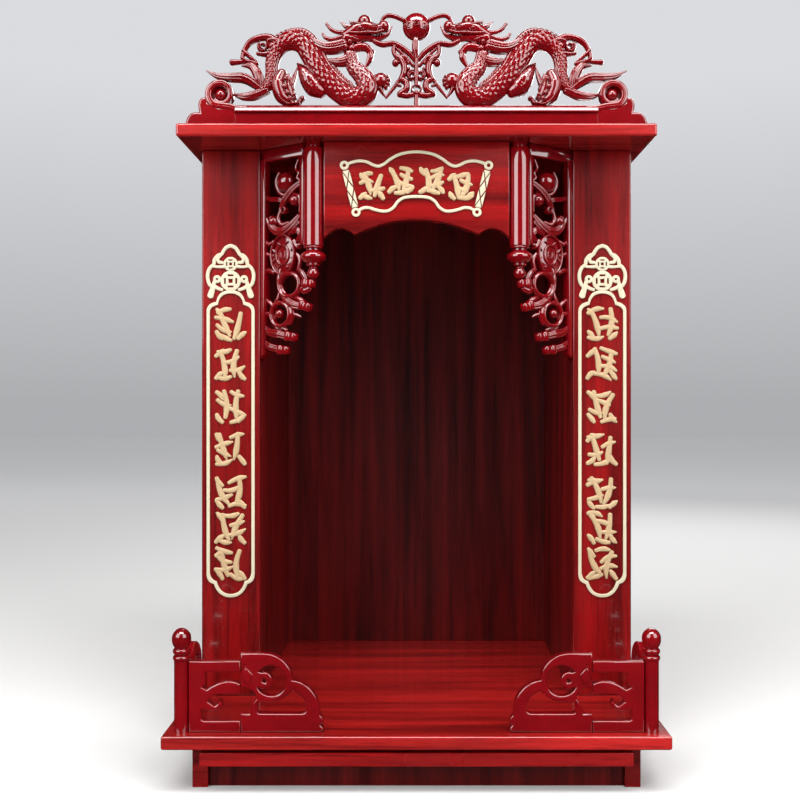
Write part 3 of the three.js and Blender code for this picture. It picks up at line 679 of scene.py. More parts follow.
def bar(points, half_widths, flatness=1.0, relief=None, depth=18.0, lift=0.0, around=20, pitch=1.1, boxy=1.0):
    """A bar along a flat curve. Its half-width follows half_widths, and its half-depth is that times
    flatness. A low boxy value squares its section, and lift moves it towards the front."""
    rough = curve_points(points, np.linspace(0, 1, ROUGH_STEPS))
    length = np.linalg.norm(np.diff(rough, axis=0), axis=1).sum()
    body_rows = max(6, int(length / pitch)) + 1
    shares = np.linspace(0, 1, body_rows)
    centres = curve_points(points, shares)
    tangents = np.gradient(centres, axis=0)
    tangents /= np.maximum(np.linalg.norm(tangents, axis=1), 1e-9)[:, None]
    halves = np.interp(shares, np.linspace(0, 1, len(half_widths)), half_widths)
    for _ in range(max(1, body_rows // (6 * len(half_widths)))):
        halves = np.convolve(np.pad(halves, 1, mode="edge"), SOFTENING, mode="valid")
    turn = np.linspace(-QUARTER_TURN, 0, CAP_ROWS + 1)[:-1]
    cap_share, cap_reach = np.cos(turn), np.sin(turn)
    start = centres[0] + tangents[0] * (cap_reach * halves[0] * CAP_BULGE)[:, None]
    end = centres[-1] - tangents[-1] * (cap_reach[::-1] * halves[-1] * CAP_BULGE)[:, None]
    line = np.vstack([start, centres, end])
    first, last = np.repeat(tangents[:1], CAP_ROWS, 0), np.repeat(tangents[-1:], CAP_ROWS, 0)
    heading = np.vstack([first, tangents, last])
    half = np.concatenate([cap_share * halves[0], halves, cap_share[::-1] * halves[-1]])
    steps = np.linalg.norm(np.diff(line, axis=0), axis=1)
    run = np.concatenate([[0], np.cumsum(steps)])
    middle = np.maximum((half[1:] + half[:-1]) / 2, 0.5)
    phase = np.concatenate([[0], np.cumsum(steps / middle)])
    faded = np.concatenate([cap_share**2, np.ones(body_rows), cap_share[::-1] ** 2])

    def shape(row, column):
        angle = column * FULL_TURN
        wide = half[row]
        deep = np.minimum(wide * flatness, depth / 2)
        across, outward = np.cos(angle), np.sin(angle)
        across = np.sign(across) * np.abs(across) ** boxy
        outward = np.sign(outward) * np.abs(outward) ** boxy
        x = wide * across
        y = -deep * outward
        if relief is not None:
            height = relief(run[row], phase[row], angle, wide) * faded[row]
            size = np.hypot(across * deep, outward * wide) + 1e-6
            x = x + height * across * deep / size
            y = y - height * outward * wide / size
        places = np.empty((len(row), 3))
        places[:, 0] = line[row, 0] - heading[row, 1] * x
        places[:, 1] = y - lift
        places[:, 2] = line[row, 1] + heading[row, 0] * x
        return places

    return wrapped_grid(len(line), around, shape)


def round_ball(x, z, radius, depth=None, lift=0.0, detail=1.0, tall=1.0):
    depth = radius if depth is None else depth
    segments = max(12, int(20 * detail))
    bpy.ops.mesh.primitive_uv_sphere_add(segments=segments, ring_count=segments // 2, radius=radius * MM)
    sphere = bpy.context.view_layer.objects.active
    sphere.scale = (1, depth / radius, tall)
    sphere.location = (x * MM, -lift * MM, z * MM)
    return apply_place(sphere)


def spiral(x, z, radius_x, radius_z, band, depth, turns=1.0, start=0.0, tighten=0.0, taper=1.0, lift=0.0):
    """A band that curls round a centre; with one full turn and no tightening it is a ring."""
    count = max(8, int(14 * abs(turns)))
    points, widths = [], []
    for i in range(count + 1):
        share = i / count
        shrink = 1 - tighten * share
        angle = start + turns * FULL_TURN * share
        points.append((x + radius_x * shrink * math.cos(angle), z + radius_z * shrink * math.sin(angle)))
        widths.append(band / 2 * (1 - (1 - taper) * share))
    return bar(points, widths, flatness=depth / band, depth=depth, lift=lift)


def scale_relief(count=12, height=0.6, length_share=0.42):
    """Overlapping scales whose free edges point along the bar, count of them round it."""

    def relief(run, phase, angle, wide):
        best = np.zeros(len(run))
        along = phase / length_share
        for back in (0, 1):
            index = np.floor(along) - back
            inside = along - index
            side = angle / FULL_TURN * count + 0.5 * (index % 2)
            side = side - np.rint(side)
            edge = 0.5 + 1.05 * np.sqrt(np.clip(1 - (2 * side) ** 2, 0, 1))
            share = np.clip(inside / edge, 0, 1)
            value = height * np.sqrt(1 - share**5) * (0.5 + 0.5 * share) * (1 - 0.4 * (2 * side) ** 2)
            best = np.maximum(best, np.where(inside < edge, value, 0))
        return best * np.clip(wide / 5, 0.4, 1.2)

    return relief


def strand_relief(count=4, height=0.8):
    """Rounded strands along the bar with sharp grooves between them."""

    def relief(run, phase, angle, wide):
        side = (np.cos(angle) + 1) / 2
        return height * (np.abs(np.sin(math.pi * count * side)) - 0.6) * np.clip(wide / 4, 0.3, 1.2)

    return relief


def ridge_relief(spacing=0.5, height=0.5):
    """Plates across the bar."""

    def relief(run, phase, angle, wide):
        return height * (np.abs(np.sin(math.pi * phase / spacing)) - 0.5) * np.clip(wide / 5, 0.3, 1.2)

    return relief


def body_relief(run, phase, angle, wide):
    """Scales on the flanks, a raised line along the back and a plain rim along the belly."""
    side = np.cos(angle)
    flank = SCALES(run, phase, angle, wide)
    belly = np.clip((side - 0.8) / 0.06, 0, 1)
    flank = flank * (1 - belly) + 0.75 * belly
    groove = np.exp(-(((side - 0.77) / 0.05) ** 2))
    line = np.exp(-(((side + 0.42) / 0.07) ** 2))
    return flank * (1 - groove) + 0.9 * line


def lip_relief(run, phase, angle, wide):
    """A ribbon with two raised lips and a hollow between them."""
    side = np.abs(np.cos(angle))
    return 1.3 * (np.clip((side - 0.35) / 0.35, 0, 1) - 0.75)


SCALES = scale_relief(count=11, height=1.15, length_share=0.46)
SMALL_SCALES = scale_relief(count=10, height=1.0, length_share=0.5)
STRANDS = strand_relief(count=5, height=1.0)
LEAF = strand_relief(count=3, height=1.1)
FINE_LEAF = strand_relief(count=6, height=0.7)
FIN_RIDGES = ridge_relief(1.1, 0.8)
DROP = strand_relief(count=2, height=1.3)


def carving(name, parts, place):
    """Joins the bars and balls, and puts the carving in the cabinet."""
    piece = closed_and_outward(joined(name, parts))
    piece.data.transform(place)
    return smooth(piece)


# Crest: rail with cloud ends and volutes

CREST_LOW, CREST_HIGH = box_mm("dragon_crest")
CREST_PLACE = moved(0, (CREST_LOW.y + CREST_HIGH.y) / 2, CREST_LOW.z)
CREST_DEPTH = CREST_HIGH.y - CREST_LOW.y
CREST_RAIL_LENGTH = 340
CREST_RAIL_ARRIS = 0.2
CREST_CLOUD_ARRIS = 2.2
VOLUTE_X, VOLUTE_Z = -184, 30.6
VOLUTE_STEPS = 16


def crest_rail_outline():
    """The section: a plain fascia below a raised band that leans back, the same behind as in front."""
    half = CREST_DEPTH / 2
    front = [
        (half - 2, 0), (half - 2, 11.4), (half - 2.6, 12), (half - 2.6, 12.8), (half - 0.4, 13), (half, 13.6),
        (half - 0.2, 14.8), (half - 1.4, 17.6), (half - 2.8, 19.6), (half - 3.6, 20),
    ]
    return front + [(-y, z) for y, z in reversed(front)]


def crest_cloud_outline():
    return outline(
        (-217, 0),
        [
            (-158, 0), (-158, 13), (-177, 17.6), (-186, 17.6), (-195.6, 22), (-196.4, 27.5),
            (-207.5, 28.5, -203.8, 13.6), (-216.2, 15, -217, 0),
        ],
        samples=12,
    )


def volute(sign):
    """The raised band of the rail curls up into a ribbon with a ball at its middle."""
    line = [(-160, 16.5), (-168, 16.6), (-176, 18.6)]
    widths = [3, 3, 3]
    for i in range(VOLUTE_STEPS + 1):
        share = i / VOLUTE_STEPS
        angle = -0.68 * math.pi - share * 2.1 * math.pi
        radius = 11.6 - 4.2 * share**1.4
        line.append((VOLUTE_X + radius * math.cos(angle), VOLUTE_Z + radius * math.sin(angle)))
        widths.append(3.1 - 1.4 * share**1.6)
    line = [(sign * x, z) for x, z in line]
    return [
        bar(line, widths, flatness=3.2, depth=CREST_DEPTH - 1, relief=lip_relief, around=48, boxy=0.6),
        round_ball(sign * VOLUTE_X, VOLUTE_Z, 9.4, 2.6, detail=1.3),
        round_ball(sign * VOLUTE_X, VOLUTE_Z, 5.8, 7.8, detail=1.3),
    ]


def crest_rail():
    across = CREST_PLACE @ Matrix.Rotation(QUARTER_TURN, 4, "Z")
    rail = cut_plate("rail", [crest_rail_outline()], CREST_RAIL_LENGTH, CREST_RAIL_ARRIS, across)
    cloud_depth = CREST_DEPTH - 2 * CREST_CLOUD_ARRIS
    left = cut_plate("cloud", [crest_cloud_outline()], cloud_depth, CREST_CLOUD_ARRIS, CREST_PLACE, 3)
    right = mirrored_copy(left, "cloud_right")
    curls = [*volute(1), *volute(-1)]
    for curl in curls:
        curl.data.transform(CREST_PLACE)
        smooth(curl)
    return closed_and_outward(joined("crest_rail_and_clouds", [rail, left, right, *curls]))


carved(even_faces(crest_rail()), "dragon_crest")


# Crest: the dragons. Drawn in mm from the crest's middle and from its foot, for the left one.

BODY_LINE = [
    (-62.5, 70), (-59.5, 58.5), (-50.5, 49), (-46, 40), (-48.2, 33), (-54.5, 28.6), (-63.1, 28.4),
    (-72.1, 33.8), (-79.6, 40.5), (-86.3, 48), (-93.8, 59.2), (-99.8, 69.7), (-107, 79.5),
    (-116.3, 82.6), (-126.2, 79.5), (-132.9, 71.7), (-136, 61.2), (-136.4, 50.7), (-139.5, 41.1),
    (-146, 35.2),
]
BODY_WIDTHS = [
    5.4, 6.2, 8.2, 9.6, 9.7, 9.6, 9.4, 9.2, 9.4, 9.6, 9.6, 9.3, 8.8, 8.4, 7.4, 6.4, 5.7, 5.3, 4.9, 4.2,
]


def fringe(line, widths, first, last, count, reach, lean, thick, sink=1.0):
    """Small flames along the right side of a bar, leaning towards its end."""
    shares = np.linspace(first, last, count)
    places = curve_points(line, shares)
    ahead = curve_points(line, shares + 0.01)
    halves = np.interp(shares, np.linspace(0, 1, len(widths)), widths)
    flames = []
    for place, next_place, half in zip(places, ahead, halves):
        heading = Vector(next_place - place).normalized()
        outward = Vector((heading.y, -heading.x))
        root = Vector(place) + outward * (half - sink)
        tip = root + (outward * math.sin(lean) + heading * math.cos(lean)) * reach
        middle = (root + tip) / 2 + outward * 0.16 * reach
        flames.append(bar([root, middle, tip], [thick, thick * 0.95, 0.25], 1.3, around=10, pitch=1.2))
    return flames


def dragon_body():
    """The scaled body, the fin above its arch and the small flames along it."""
    body = bar(BODY_LINE, BODY_WIDTHS, flatness=0.92, relief=body_relief, around=88, pitch=0.55)
    fin = [(-60, 40), (-68, 43), (-82, 57), (-90, 72), (-98, 85), (-108, 91.5), (-121, 90.5), (-131, 84)]
    fin_widths = [1, 3, 3.2, 3, 3, 2.8, 2.2, 0.8]
    base = bar(fin, fin_widths, 1.2, relief=FIN_RIDGES, around=24, pitch=0.8)
    flames = fringe(BODY_LINE, BODY_WIDTHS, 0.30, 0.50, 11, reach=6.5, lean=0.62, thick=1.3, sink=-1.2)
    flames += fringe(BODY_LINE, BODY_WIDTHS, 0.60, 0.755, 11, reach=5.6, lean=0.5, thick=1.3, sink=0.2)
    flames += fringe(BODY_LINE, BODY_WIDTHS, 0.06, 0.13, 4, reach=3.6, lean=0.7, thick=1.0)
    return [body, base, *flames]


def dragon_head():
    """Snout, jaws, horns, beard and mane, then the eye, brow, nostril and teeth of each face."""
    parts = [
        bar(
            [(-67, 87), (-58, 92), (-48, 94.6), (-38, 93.4), (-31, 94.6)],
            [4.6, 6.4, 6.6, 4.8, 4.2], 1.15, around=28,
        ),
        round_ball(-49, 100.2, 6.3, 7, detail=1.4),
        round_ball(-30.9, 95.8, 5.5, 6.2, detail=1.2),
        bar([(-67, 84.4), (-56, 84.6), (-43, 85.6)], [5, 4.6, 3], 1.2),
        bar([(-47, 85), (-38, 83.8), (-33.4, 85), (-27.4, 88.6), (-22.8, 96)], [3, 2.6, 2.3, 2, 0.6], 1.4),
        bar([(-66, 90), (-75, 90.6), (-80.3, 93), (-84.8, 98.4)], [2.4, 1.9, 1.8, 1.5]),
        bar([(-64, 89.5), (-72.8, 85.4), (-80.3, 83.6), (-86.3, 85.6), (-88.4, 89.2)], [2, 2, 2, 1.7, 1.3]),
        bar([(-61, 94.5), (-67, 96.4), (-72.2, 100.6)], [3, 2.4, 0.4], relief=LEAF, around=28),
        bar([(-55, 82.6), (-60, 83.6), (-67, 86.4)], [2.4, 4, 2.4], 1.9, relief=LEAF, around=32),
        bar([(-54, 84), (-55.8, 79.6), (-51.6, 81.2)], [1.4, 1.5, 0.7], 2.4),
        round_ball(-67.2, 75.8, 4.1, 7),
        round_ball(-60.6, 74.2, 4.2, 7.4),
        round_ball(-68.6, 81.2, 2.8, 6.4),
        round_ball(-62.6, 80.6, 3.2, 6.6),
        bar(
            [(-68, 78), (-76, 76), (-84.6, 75.4), (-93, 78.4), (-100, 83.6), (-107, 88)],
            [5.8, 5.8, 5.4, 4.4, 3, 0.8], 1.25, relief=STRANDS, around=64, pitch=0.9,
        ),
        bar(
            [(-60, 66.4), (-66, 63.6), (-74, 62.2), (-80, 63.2), (-87, 65.6)],
            [4.6, 5, 4, 2.4, 0.5], 1.25, relief=STRANDS, around=56, pitch=0.9,
        ),
    ]
    for lift in (5.6, -5.6):
        parts += [
            round_ball(-53, 92.6, 2.1, 2.6, lift=lift * 1.1),
            spiral(-53, 92.6, 3.3, 2.7, 1.3, 2.2, lift=lift * 1.08),
            spiral(-34.6, 91.6, 1.9, 1.7, 1.2, 2, lift=lift * 0.78),
            bar(
                [(-63, 88.4), (-54, 88), (-46, 88.6), (-38, 88.4), (-31, 90.4)],
                [1.2, 1.3, 1.4, 1.3, 1], 1.2, lift=lift,
            ),
            bar(
                [(-62, 97.4), (-57, 97.2), (-50, 95.6), (-44.6, 95.4)],
                [0.8, 1.3, 1.3, 0.6], 1.4, lift=lift,
            ),
            bar([(-44, 92.6), (-41, 95.4), (-36.6, 95.2)], [1, 1.4, 0.6], 1.2, lift=lift * 0.9),
        ]
        for i in range(4):
            x, z = 2.4 * i - 61.6, 96.6 - 0.3 * i
            parts.append(bar([(x, z), (x - 1, z + 3)], [1, 0.3], lift=lift, around=8))
    for i in range(5):
        x = 2.6 * i - 45
        parts.append(bar([(x, 88), (x + 0.4, 85.4)], [0.9, 0.25], 3, around=8))
    return parts


def clawed_leg(points, widths, relief=None):
    return bar(points, widths, 1.25, relief=relief, around=32, pitch=0.9)


def dragon_legs():
    """The raised front leg with its paw, the hind leg with its knobs and the scaled thigh."""
    paw = [round_ball(-33.6, 44.6, 7.4, 7.6, detail=1.3)]
    for angle, reach in ((0.55, 6.6), (0.1, 7.0), (-0.4, 7.2), (-0.9, 7.4)):
        x, z = -33.4 + reach * math.cos(angle), 44.2 + reach * math.sin(angle)
        paw.append(round_ball(x, z, 2.3, 5.2))
    paw += [
        bar([(-34.4, 38), (-32.2, 33.6), (-28.8, 29)], [2.6, 1.8, 0.8], 1.4),
        bar([(-28.8, 28.6), (-21, 38.4), (-14.2, 47.4)], [1.2, 1.8, 1.6], 1.2),
        bar([(-45, 46), (-38, 47)], [3.4, 3.6], 1.2),
    ]
    hind = [
        clawed_leg([(-126.5, 52), (-130, 42), (-126.6, 30), (-117, 22.8)], [4.6, 7, 6.8, 4.2]),
        bar(
            [(-128.5, 53.5), (-133.2, 44), (-130.4, 31), (-121, 21.6), (-110, 22.6)],
            [1, 1.4, 1.5, 1.5, 1.1], 5, lift=1.4,
        ),
        bar([(-119, 22), (-112.6, 22), (-108.6, 27.6)], [3, 2.6, 2.2], 1.6),
        bar([(-122, 48), (-121.6, 38), (-117.6, 28)], [3.4, 5.4, 5], 1.0),
        round_ball(-107.6, 27.8, 2.6, 4.6),
        bar([(-117.6, 41), (-114.6, 49), (-111.8, 58.6)], [2.8, 2.2, 0.4], 1.4, relief=LEAF, around=24),
        bar([(-121, 50), (-118.4, 44), (-116, 36)], [1.8, 2.2, 1.6], 1.8),
    ]
    knobs = (
        (-124.2, 37.6, 2.5), (-120.4, 31.6, 2), (-118.4, 26.4, 2.1), (-122.6, 44.6, 1.8), (-114.6, 30, 1.8),
    )
    for x, z, radius in knobs:
        hind += [round_ball(x, z, radius, 2.4, lift=face) for face in (6.6, -6.6)]
    thigh_line = [(-112.2, 60), (-107.4, 54), (-101.6, 45), (-96.4, 38.4), (-89, 33.6)]
    thigh = [
        clawed_leg(thigh_line, [0.5, 4.4, 7.6, 8.2, 5], SMALL_SCALES),
        bar([(-112.2, 60.4), (-104, 57), (-96.6, 49.6), (-90, 41.8)], [0.8, 1.3, 1.5, 1.4], 5),
    ]
    return [
        clawed_leg(
            [(-62, 73.6), (-54.6, 76.2), (-47.8, 76), (-42.4, 70.6)],
            [3.4, 3.6, 3.4, 2.6], SMALL_SCALES,
        ),
        clawed_leg([(-43, 72), (-43.6, 66.4), (-49.2, 55.6)], [2.6, 3.6, 1.1], LEAF),
        bar([(-44, 73.2), (-40.4, 72.4), (-41.6, 68.4)], [1, 1.2, 0.6], 3),
        *paw, *hind, *thigh,
    ]


def dragon_tail():
    """The hind foot with its curled toes, and three leaves at the tail's end."""
    foot = [
        bar(
            [(-131, 80.6), (-138, 85), (-147, 85.2), (-157.6, 80.4), (-163, 71.4)],
            [3.6, 3.4, 3, 2.6, 2.2], 1.7, around=28,
        ),
        bar([(-128, 79), (-133, 82.4), (-139.4, 81.6), (-139, 76)], [3.4, 3.4, 2.6, 1.4], 2),
        spiral(-144.6, 76, 4.6, 4.6, 3.0, 12, turns=1.35, start=2.4, tighten=0.62, taper=0.7),
        round_ball(-135.4, 76.4, 4.6, 7.4),
        bar([(-133, 71), (-141, 69.6), (-150, 70.2)], [2.6, 2.4, 1.6], 2.2),
        bar([(-163, 73), (-160.2, 69.8), (-150.6, 61.8)], [2.2, 2.2, 1.4], 2),
        bar([(-163.4, 70), (-163.6, 65), (-158, 62.2)], [2, 2.2, 1.6], 2),
        bar([(-174.4, 61.9), (-168, 62.2), (-158, 63), (-150, 60.6)], [2.7, 2.2, 1.6, 1.8], 1.6),
    ]
    leaves = [
        bar(
            [(-164.6, 58.8), (-156, 58.4), (-150.6, 52), (-148, 45), (-147, 37)],
            [0.8, 3.6, 5, 5, 3.4], 1.3, FINE_LEAF, around=64, pitch=0.9,
        ),
        bar(
            [(-198, 54), (-188, 49.2), (-176, 47.6), (-163, 47), (-154, 42.6), (-145, 35.6)],
            [0.6, 2.8, 4.1, 4.8, 4.6, 3.6], 1.3, LEAF, around=56, pitch=0.9,
        ),
        bar(
            [(-172.6, 31.6), (-164, 29.6), (-154, 30.4), (-141, 35.6)],
            [1, 3.4, 4.4, 3.8], 1.3, LEAF, around=44, pitch=0.9,
        ),
    ]
    return foot + leaves


dragon = carving("dragon_left", dragon_body() + dragon_head() + dragon_legs() + dragon_tail(), CREST_PLACE)
other_dragon = mirrored_copy(dragon, "dragon_right")
carved(dragon, "dragon_crest")
carved(other_dragon, "dragon_crest")


# Crest: the pearl and the knot below it


def knot_side(sign):
    """One side of the knot: its strands, curls and balls."""

    def strand(points, widths, flatness=1.6, **more):
        return bar([(sign * x, z) for x, z in points], widths, flatness, **more)

    parts = [
        strand(
            [(-33, 99.6), (-31, 103.6), (-27.4, 106), (-21, 105.4), (-11, 101.2)],
            [1.6, 1.9, 1.9, 1.9, 2],
        ),
        strand(
            [(-43, 85.6), (-38, 81), (-32, 78.8), (-22, 79.6), (-14, 76), (-7, 70.6), (-1, 63.4)],
            [2, 2.4, 2.5, 2.5, 2.5, 2.6, 2.2],
        ),
        strand([(-21, 77), (-15.4, 72), (-9.8, 66.2), (-3, 58.6)], [1.4, 1.7, 1.8, 1.6]),
        strand(
            [(-20, 79), (-21.6, 74), (-19.4, 68), (-15, 65.4), (-11.4, 58), (-12, 51), (-14.6, 45.6)],
            [2, 2.2, 2.3, 2.9, 3.3, 3.3, 2.8],
        ),
        strand([(-14.6, 46), (-9.4, 42.4), (-9.6, 36.6), (-16, 32)], [2.8, 3.3, 3.2, 2.8]),
        strand([(-16.4, 31.8), (-8.5, 30.6), (0, 32.2)], [2.6, 2.6, 2.4]),
        strand([(-15, 67.6), (-10, 66.4), (-7.6, 61)], [1.6, 2, 1.6]),
        strand([(-14.6, 47), (-18.4, 41.4), (-14.6, 39.6)], [1.8, 1.9, 1.2]),
        spiral(sign * -4.2, 49.4, 4.2, 4.2, 2.9, 10, turns=sign * 1.3, start=1.2, tighten=0.5),
        round_ball(sign * -19.6, 61.4, 3.5, 5),
        strand([(-19.6, 61.4), (-14, 62.4)], [1.6, 1.6]),
        round_ball(sign * -7.4, 55.2, 2.2, 5),
    ]
    for lift in (6.4, -6.4):
        curl = {"turns": sign * 1.4, "start": 1.0, "tighten": 0.55, "lift": lift * 1.06}
        parts.append(spiral(sign * -7.2, 94.6, 2.5, 2.9, 1.5, 3, **curl))
        parts.append(strand([(-12, 101), (-9, 98.6), (-11.4, 95)], [1.4, 1.2, 0.7], 1.2, lift=lift * 0.7))
    return parts


def pearl_parts():
    """The pearl with a curl on each face, and the drop and stem below it."""
    parts = [
        round_ball(0, 95.4, 13, CREST_DEPTH / 2, detail=1.8),
        bar([(1.8, 91), (-0.6, 82), (-1.2, 73), (0.4, 63)], [0.9, 3.6, 3.9, 2.2], 1.8, DROP, around=36),
        bar([(0, 64), (0, 52), (0, 40)], [2.2, 2.7, 2.1], 2),
        bar([(0, 17), (0, 34)], [2.4, 2.2], 1.5),
        spiral(0, 36, 4.4, 3.8, 2.2, 9),
    ]
    for face in (8.528, -8.528):
        parts.append(spiral(0, 95.8, 3.1, 3.1, 1.5, 3.4, turns=1.4, start=0.6, tighten=0.55, lift=face))
    return parts


pearl = carving("pearl_and_knot", pearl_parts() + knot_side(1) + knot_side(-1), CREST_PLACE)
carved(pearl, "dragon_crest")


# Pierced brackets. Drawn in mm from the stile and down from the roof.

STILE_LOW, STILE_HIGH = box_mm("stile_left")
POST_LOW, POST_HIGH = box_mm("hanging_post_left")
BRACKET_START = Vector((STILE_HIGH.x + 0.3, STILE_LOW.y + 6, STILE_HIGH.z))
BRACKET_SPAN = (POST_LOW + POST_HIGH) / 2 - BRACKET_START
BRACKET_TURN = math.atan2(BRACKET_SPAN.y, BRACKET_SPAN.x)
BRACKET_REACH = math.hypot(BRACKET_SPAN.x, BRACKET_SPAN.y) - 10
BRACKET_DROP = 209
BRACKET_THICKNESS = 9
BRACKET_BAR_ARRIS = 1.4
ROLL_LENGTH = 6.4
ROLL_RADIUS = 4.4
COIN_X, COIN_Z = 29.1, -104
COIN_RADIUS_X, COIN_RADIUS_Z = 14.2, 19


def leaf(points, widths, flatness=0.9, **more):
    return bar(points, widths, flatness, depth=BRACKET_THICKNESS, **more)


def roll_end(x, z, lean):
    """The end of a rolled leaf: a short square-shouldered barrel with a lip round it."""
    run = Vector((math.cos(lean), math.sin(lean))) * ROLL_LENGTH / 2
    middle = Vector((x, z))
    waist, lip = ROLL_RADIUS * 0.9, ROLL_RADIUS * 1.12
    return [
        bar([middle - run, middle, middle + run], [ROLL_RADIUS, waist, ROLL_RADIUS], boxy=0.45, around=32),
        bar([middle - run * 1.5, middle - run * 1.1], [lip, lip], boxy=0.45, around=32),
    ]


def four_ways():
    """A direction and the one to its left, for each quarter turn."""
    for i in range(4):
        along = Vector((math.cos(QUARTER_TURN * i), math.sin(QUARTER_TURN * i)))
        yield along, Vector((-along.y, along.x))


def coin_disc():
    """An oval coin: a thin raised rim, a sunk face, an inner ring and four bars round a square."""
    middle = Vector((COIN_X, COIN_Z))
    parts = [
        round_ball(COIN_X, COIN_Z, COIN_RADIUS_X, 2.2, detail=1.8, tall=COIN_RADIUS_Z / COIN_RADIUS_X),
        spiral(COIN_X, COIN_Z, COIN_RADIUS_X, COIN_RADIUS_Z, 2.4, 8.6),
        spiral(COIN_X, COIN_Z, 7.6, 9.4, 2.2, 7.4),
    ]
    for along, across in four_ways():
        hole_side = middle + along * 2.8
        parts.append(leaf([hole_side - across * 2.4, hole_side + across * 2.4], [1, 1], 3.4))
        for spread in (across, -across):
            spoke = [middle + along * 9.8 + spread * 3, middle + along * 12.2 + spread * 6]
            parts.append(leaf(spoke, [0.9, 1.1], 3.2))
    return parts


def bracket_carving():
    inner = BRACKET_REACH - 2.25
    veined = {"relief": LEAF, "around": 36}
    parts = [
        round_ball(31.4, -33.6, 9.6, 8.2, detail=1.6),
        leaf([(23, -23.6), (19.6, -30), (20.6, -38), (26, -44.6), (33, -46)], [1.4, 2, 2.4, 2.4, 1.6]),
        round_ball(42.6, -52.6, 5.6, 6.4, detail=1.2),
        leaf(
            [(46.6, -14), (43.6, -21.5), (47.2, -27), (45.4, -31), (50.6, -35)],
            [1.5, 1.7, 1.9, 1.9, 1.4],
        ),
        leaf(
            [(inner, -35), (45, -38.6), (37, -44), (30, -51.6), (25.4, -60)],
            [2.2, 3.2, 3.8, 3.8, 2.6], **veined,
        ),
        leaf([(5, -46), (14, -48.6), (24, -50), (31, -54)], [2, 2.8, 2.8, 2], **veined),
        leaf([(40, -46), (47, -48.6), (50, -56), (49, -64)], [1.6, 2.2, 2.4, 2], **veined),
        spiral(29.4, -60.4, 3.6, 3.4, 2.6, 8, turns=1.2, start=2.6, tighten=0.4),
        leaf(
            [(14.6, -66.6), (14.6, -74), (20.6, -80), (30, -80.6), (39.6, -75.6), (47.6, -68)],
            [3.4, 4.6, 5, 4.8, 4.2, 2.4], **veined,
        ),
        round_ball(16.8, -70.4, 5.2, 6.4, detail=1.2),
        leaf([(23.6, -62), (22, -69), (26, -74), (34, -73)], [2, 2.4, 2.6, 1.8]),
        leaf([(5, -64), (9, -70), (12, -76)], [2.2, 2.6, 2.2]),
        leaf([(36, -84), (40, -78.6), (47, -74)], [2.4, 3, 2.2], **veined),
        leaf([(40, -83), (46, -81), (49.4, -86), (45.6, -91.6)], [2.6, 3.4, 3.2, 2.2], **veined),
        leaf([(41, -91), (44.6, -97), (50, -97.6)], [2, 2.4, 2]),
        round_ball(49, -96.4, 2.8, 5),
        *coin_disc(),
        leaf([(5, -88), (10, -92), (16, -90)], [2.2, 2.6, 2]),
        leaf([(5, -101), (16, -104)], [2.6, 2.2]),
        leaf([(5, -118), (11, -118), (17, -120)], [2, 2.6, 2.6]),
        leaf([(45, -104), (48.6, -111), (47, -119)], [2, 2.6, 2.4]),
        spiral(36.6, -133.4, 12.4, 11.2, 5.2, 8.8),
        leaf([(24.6, -118), (23, -126), (25, -136), (30, -143)], [2.4, 3.2, 3.4, 3]),
        leaf([(46, -118.6), (52, -122.6), (56.4, -129), (57, -136)], [2.4, 3, 3.6, 3.4], **veined),
        leaf([(49, -137), (54, -139.6), (60, -138)], [2.6, 3.8, 3]),
        leaf([(28, -142), (34, -148), (42, -152.6), (51, -154.6)], [3.4, 4.8, 5, 4], **veined),
        leaf([(43, -145.6), (48, -147.6), (53, -150.6)], [2.4, 2.8, 2.4]),
        leaf([(23.4, -139), (21.6, -145.6), (18, -150.6), (12, -151)], [1.8, 2.4, 2.4, 1.4]),
        leaf([(5, -146), (11, -149), (16, -153)], [2, 2.4, 2.2]),
        spiral(25.6, -161.4, 11.2, 11.2, 4.8, 8.8),
        leaf([(34.6, -152), (38.6, -160.6), (35.6, -170)], [2.8, 4.4, 2.8]),
        round_ball(24.4, -160.6, 4.6, 6),
        leaf([(17, -166), (20, -162), (25, -161)], [1.8, 2, 1.6]),
        leaf([(5, -160), (15, -161)], [2.4, 3]),
        leaf([(36, -162), (43, -162), (49.6, -164.6)], [2.4, 2.2, 1]),
        leaf([(5, -173), (12, -178), (22, -180), (33, -182.6)], [3, 4.4, 4.8, 4], **veined),
        leaf([(18, -173), (24, -177), (27, -174.6), (32, -176.6)], [2, 2.6, 2.4, 1.8]),
        leaf([(5, -188), (12, -192), (23, -195)], [3, 4.4, 4], **veined),
    ]
    for x, z, lean in ((60, -133.4, -0.1), (56, -155, -0.35), (38.6, -183.4, -0.15), (29.4, -196, -0.1)):
        parts += roll_end(x, z, lean)
    return parts


def bracket_frame():
    """The bars along the stile and under the roof, and the thinner one behind the hanging post."""
    start, end = -5, BRACKET_REACH + 1
    bars = (
        ([(start, -BRACKET_DROP), (8, 10 - BRACKET_DROP), (8, 0), (start, 0)], BRACKET_THICKNESS),
        ([(start, -12), (end, -12), (end, 0), (start, 0)], BRACKET_THICKNESS),
        ([(end - 5.5, -96), (end, -96), (end, -1), (end - 5.5, -1)], BRACKET_THICKNESS - 2),
    )
    return [
        cut_plate("bracket_bar", [points], thickness, BRACKET_BAR_ARRIS, Matrix.Identity(4))
        for points, thickness in bars
    ]


def trim_beside_stile(piece, x):
    select_only(piece)
    bpy.ops.object.mode_set(mode="EDIT")
    bpy.ops.mesh.select_all(action="SELECT")
    bpy.ops.mesh.bisect(plane_co=(x * MM, 0, 0), plane_no=(-1, 0, 0), use_fill=True, clear_outer=True)
    bpy.ops.object.mode_set(mode="OBJECT")


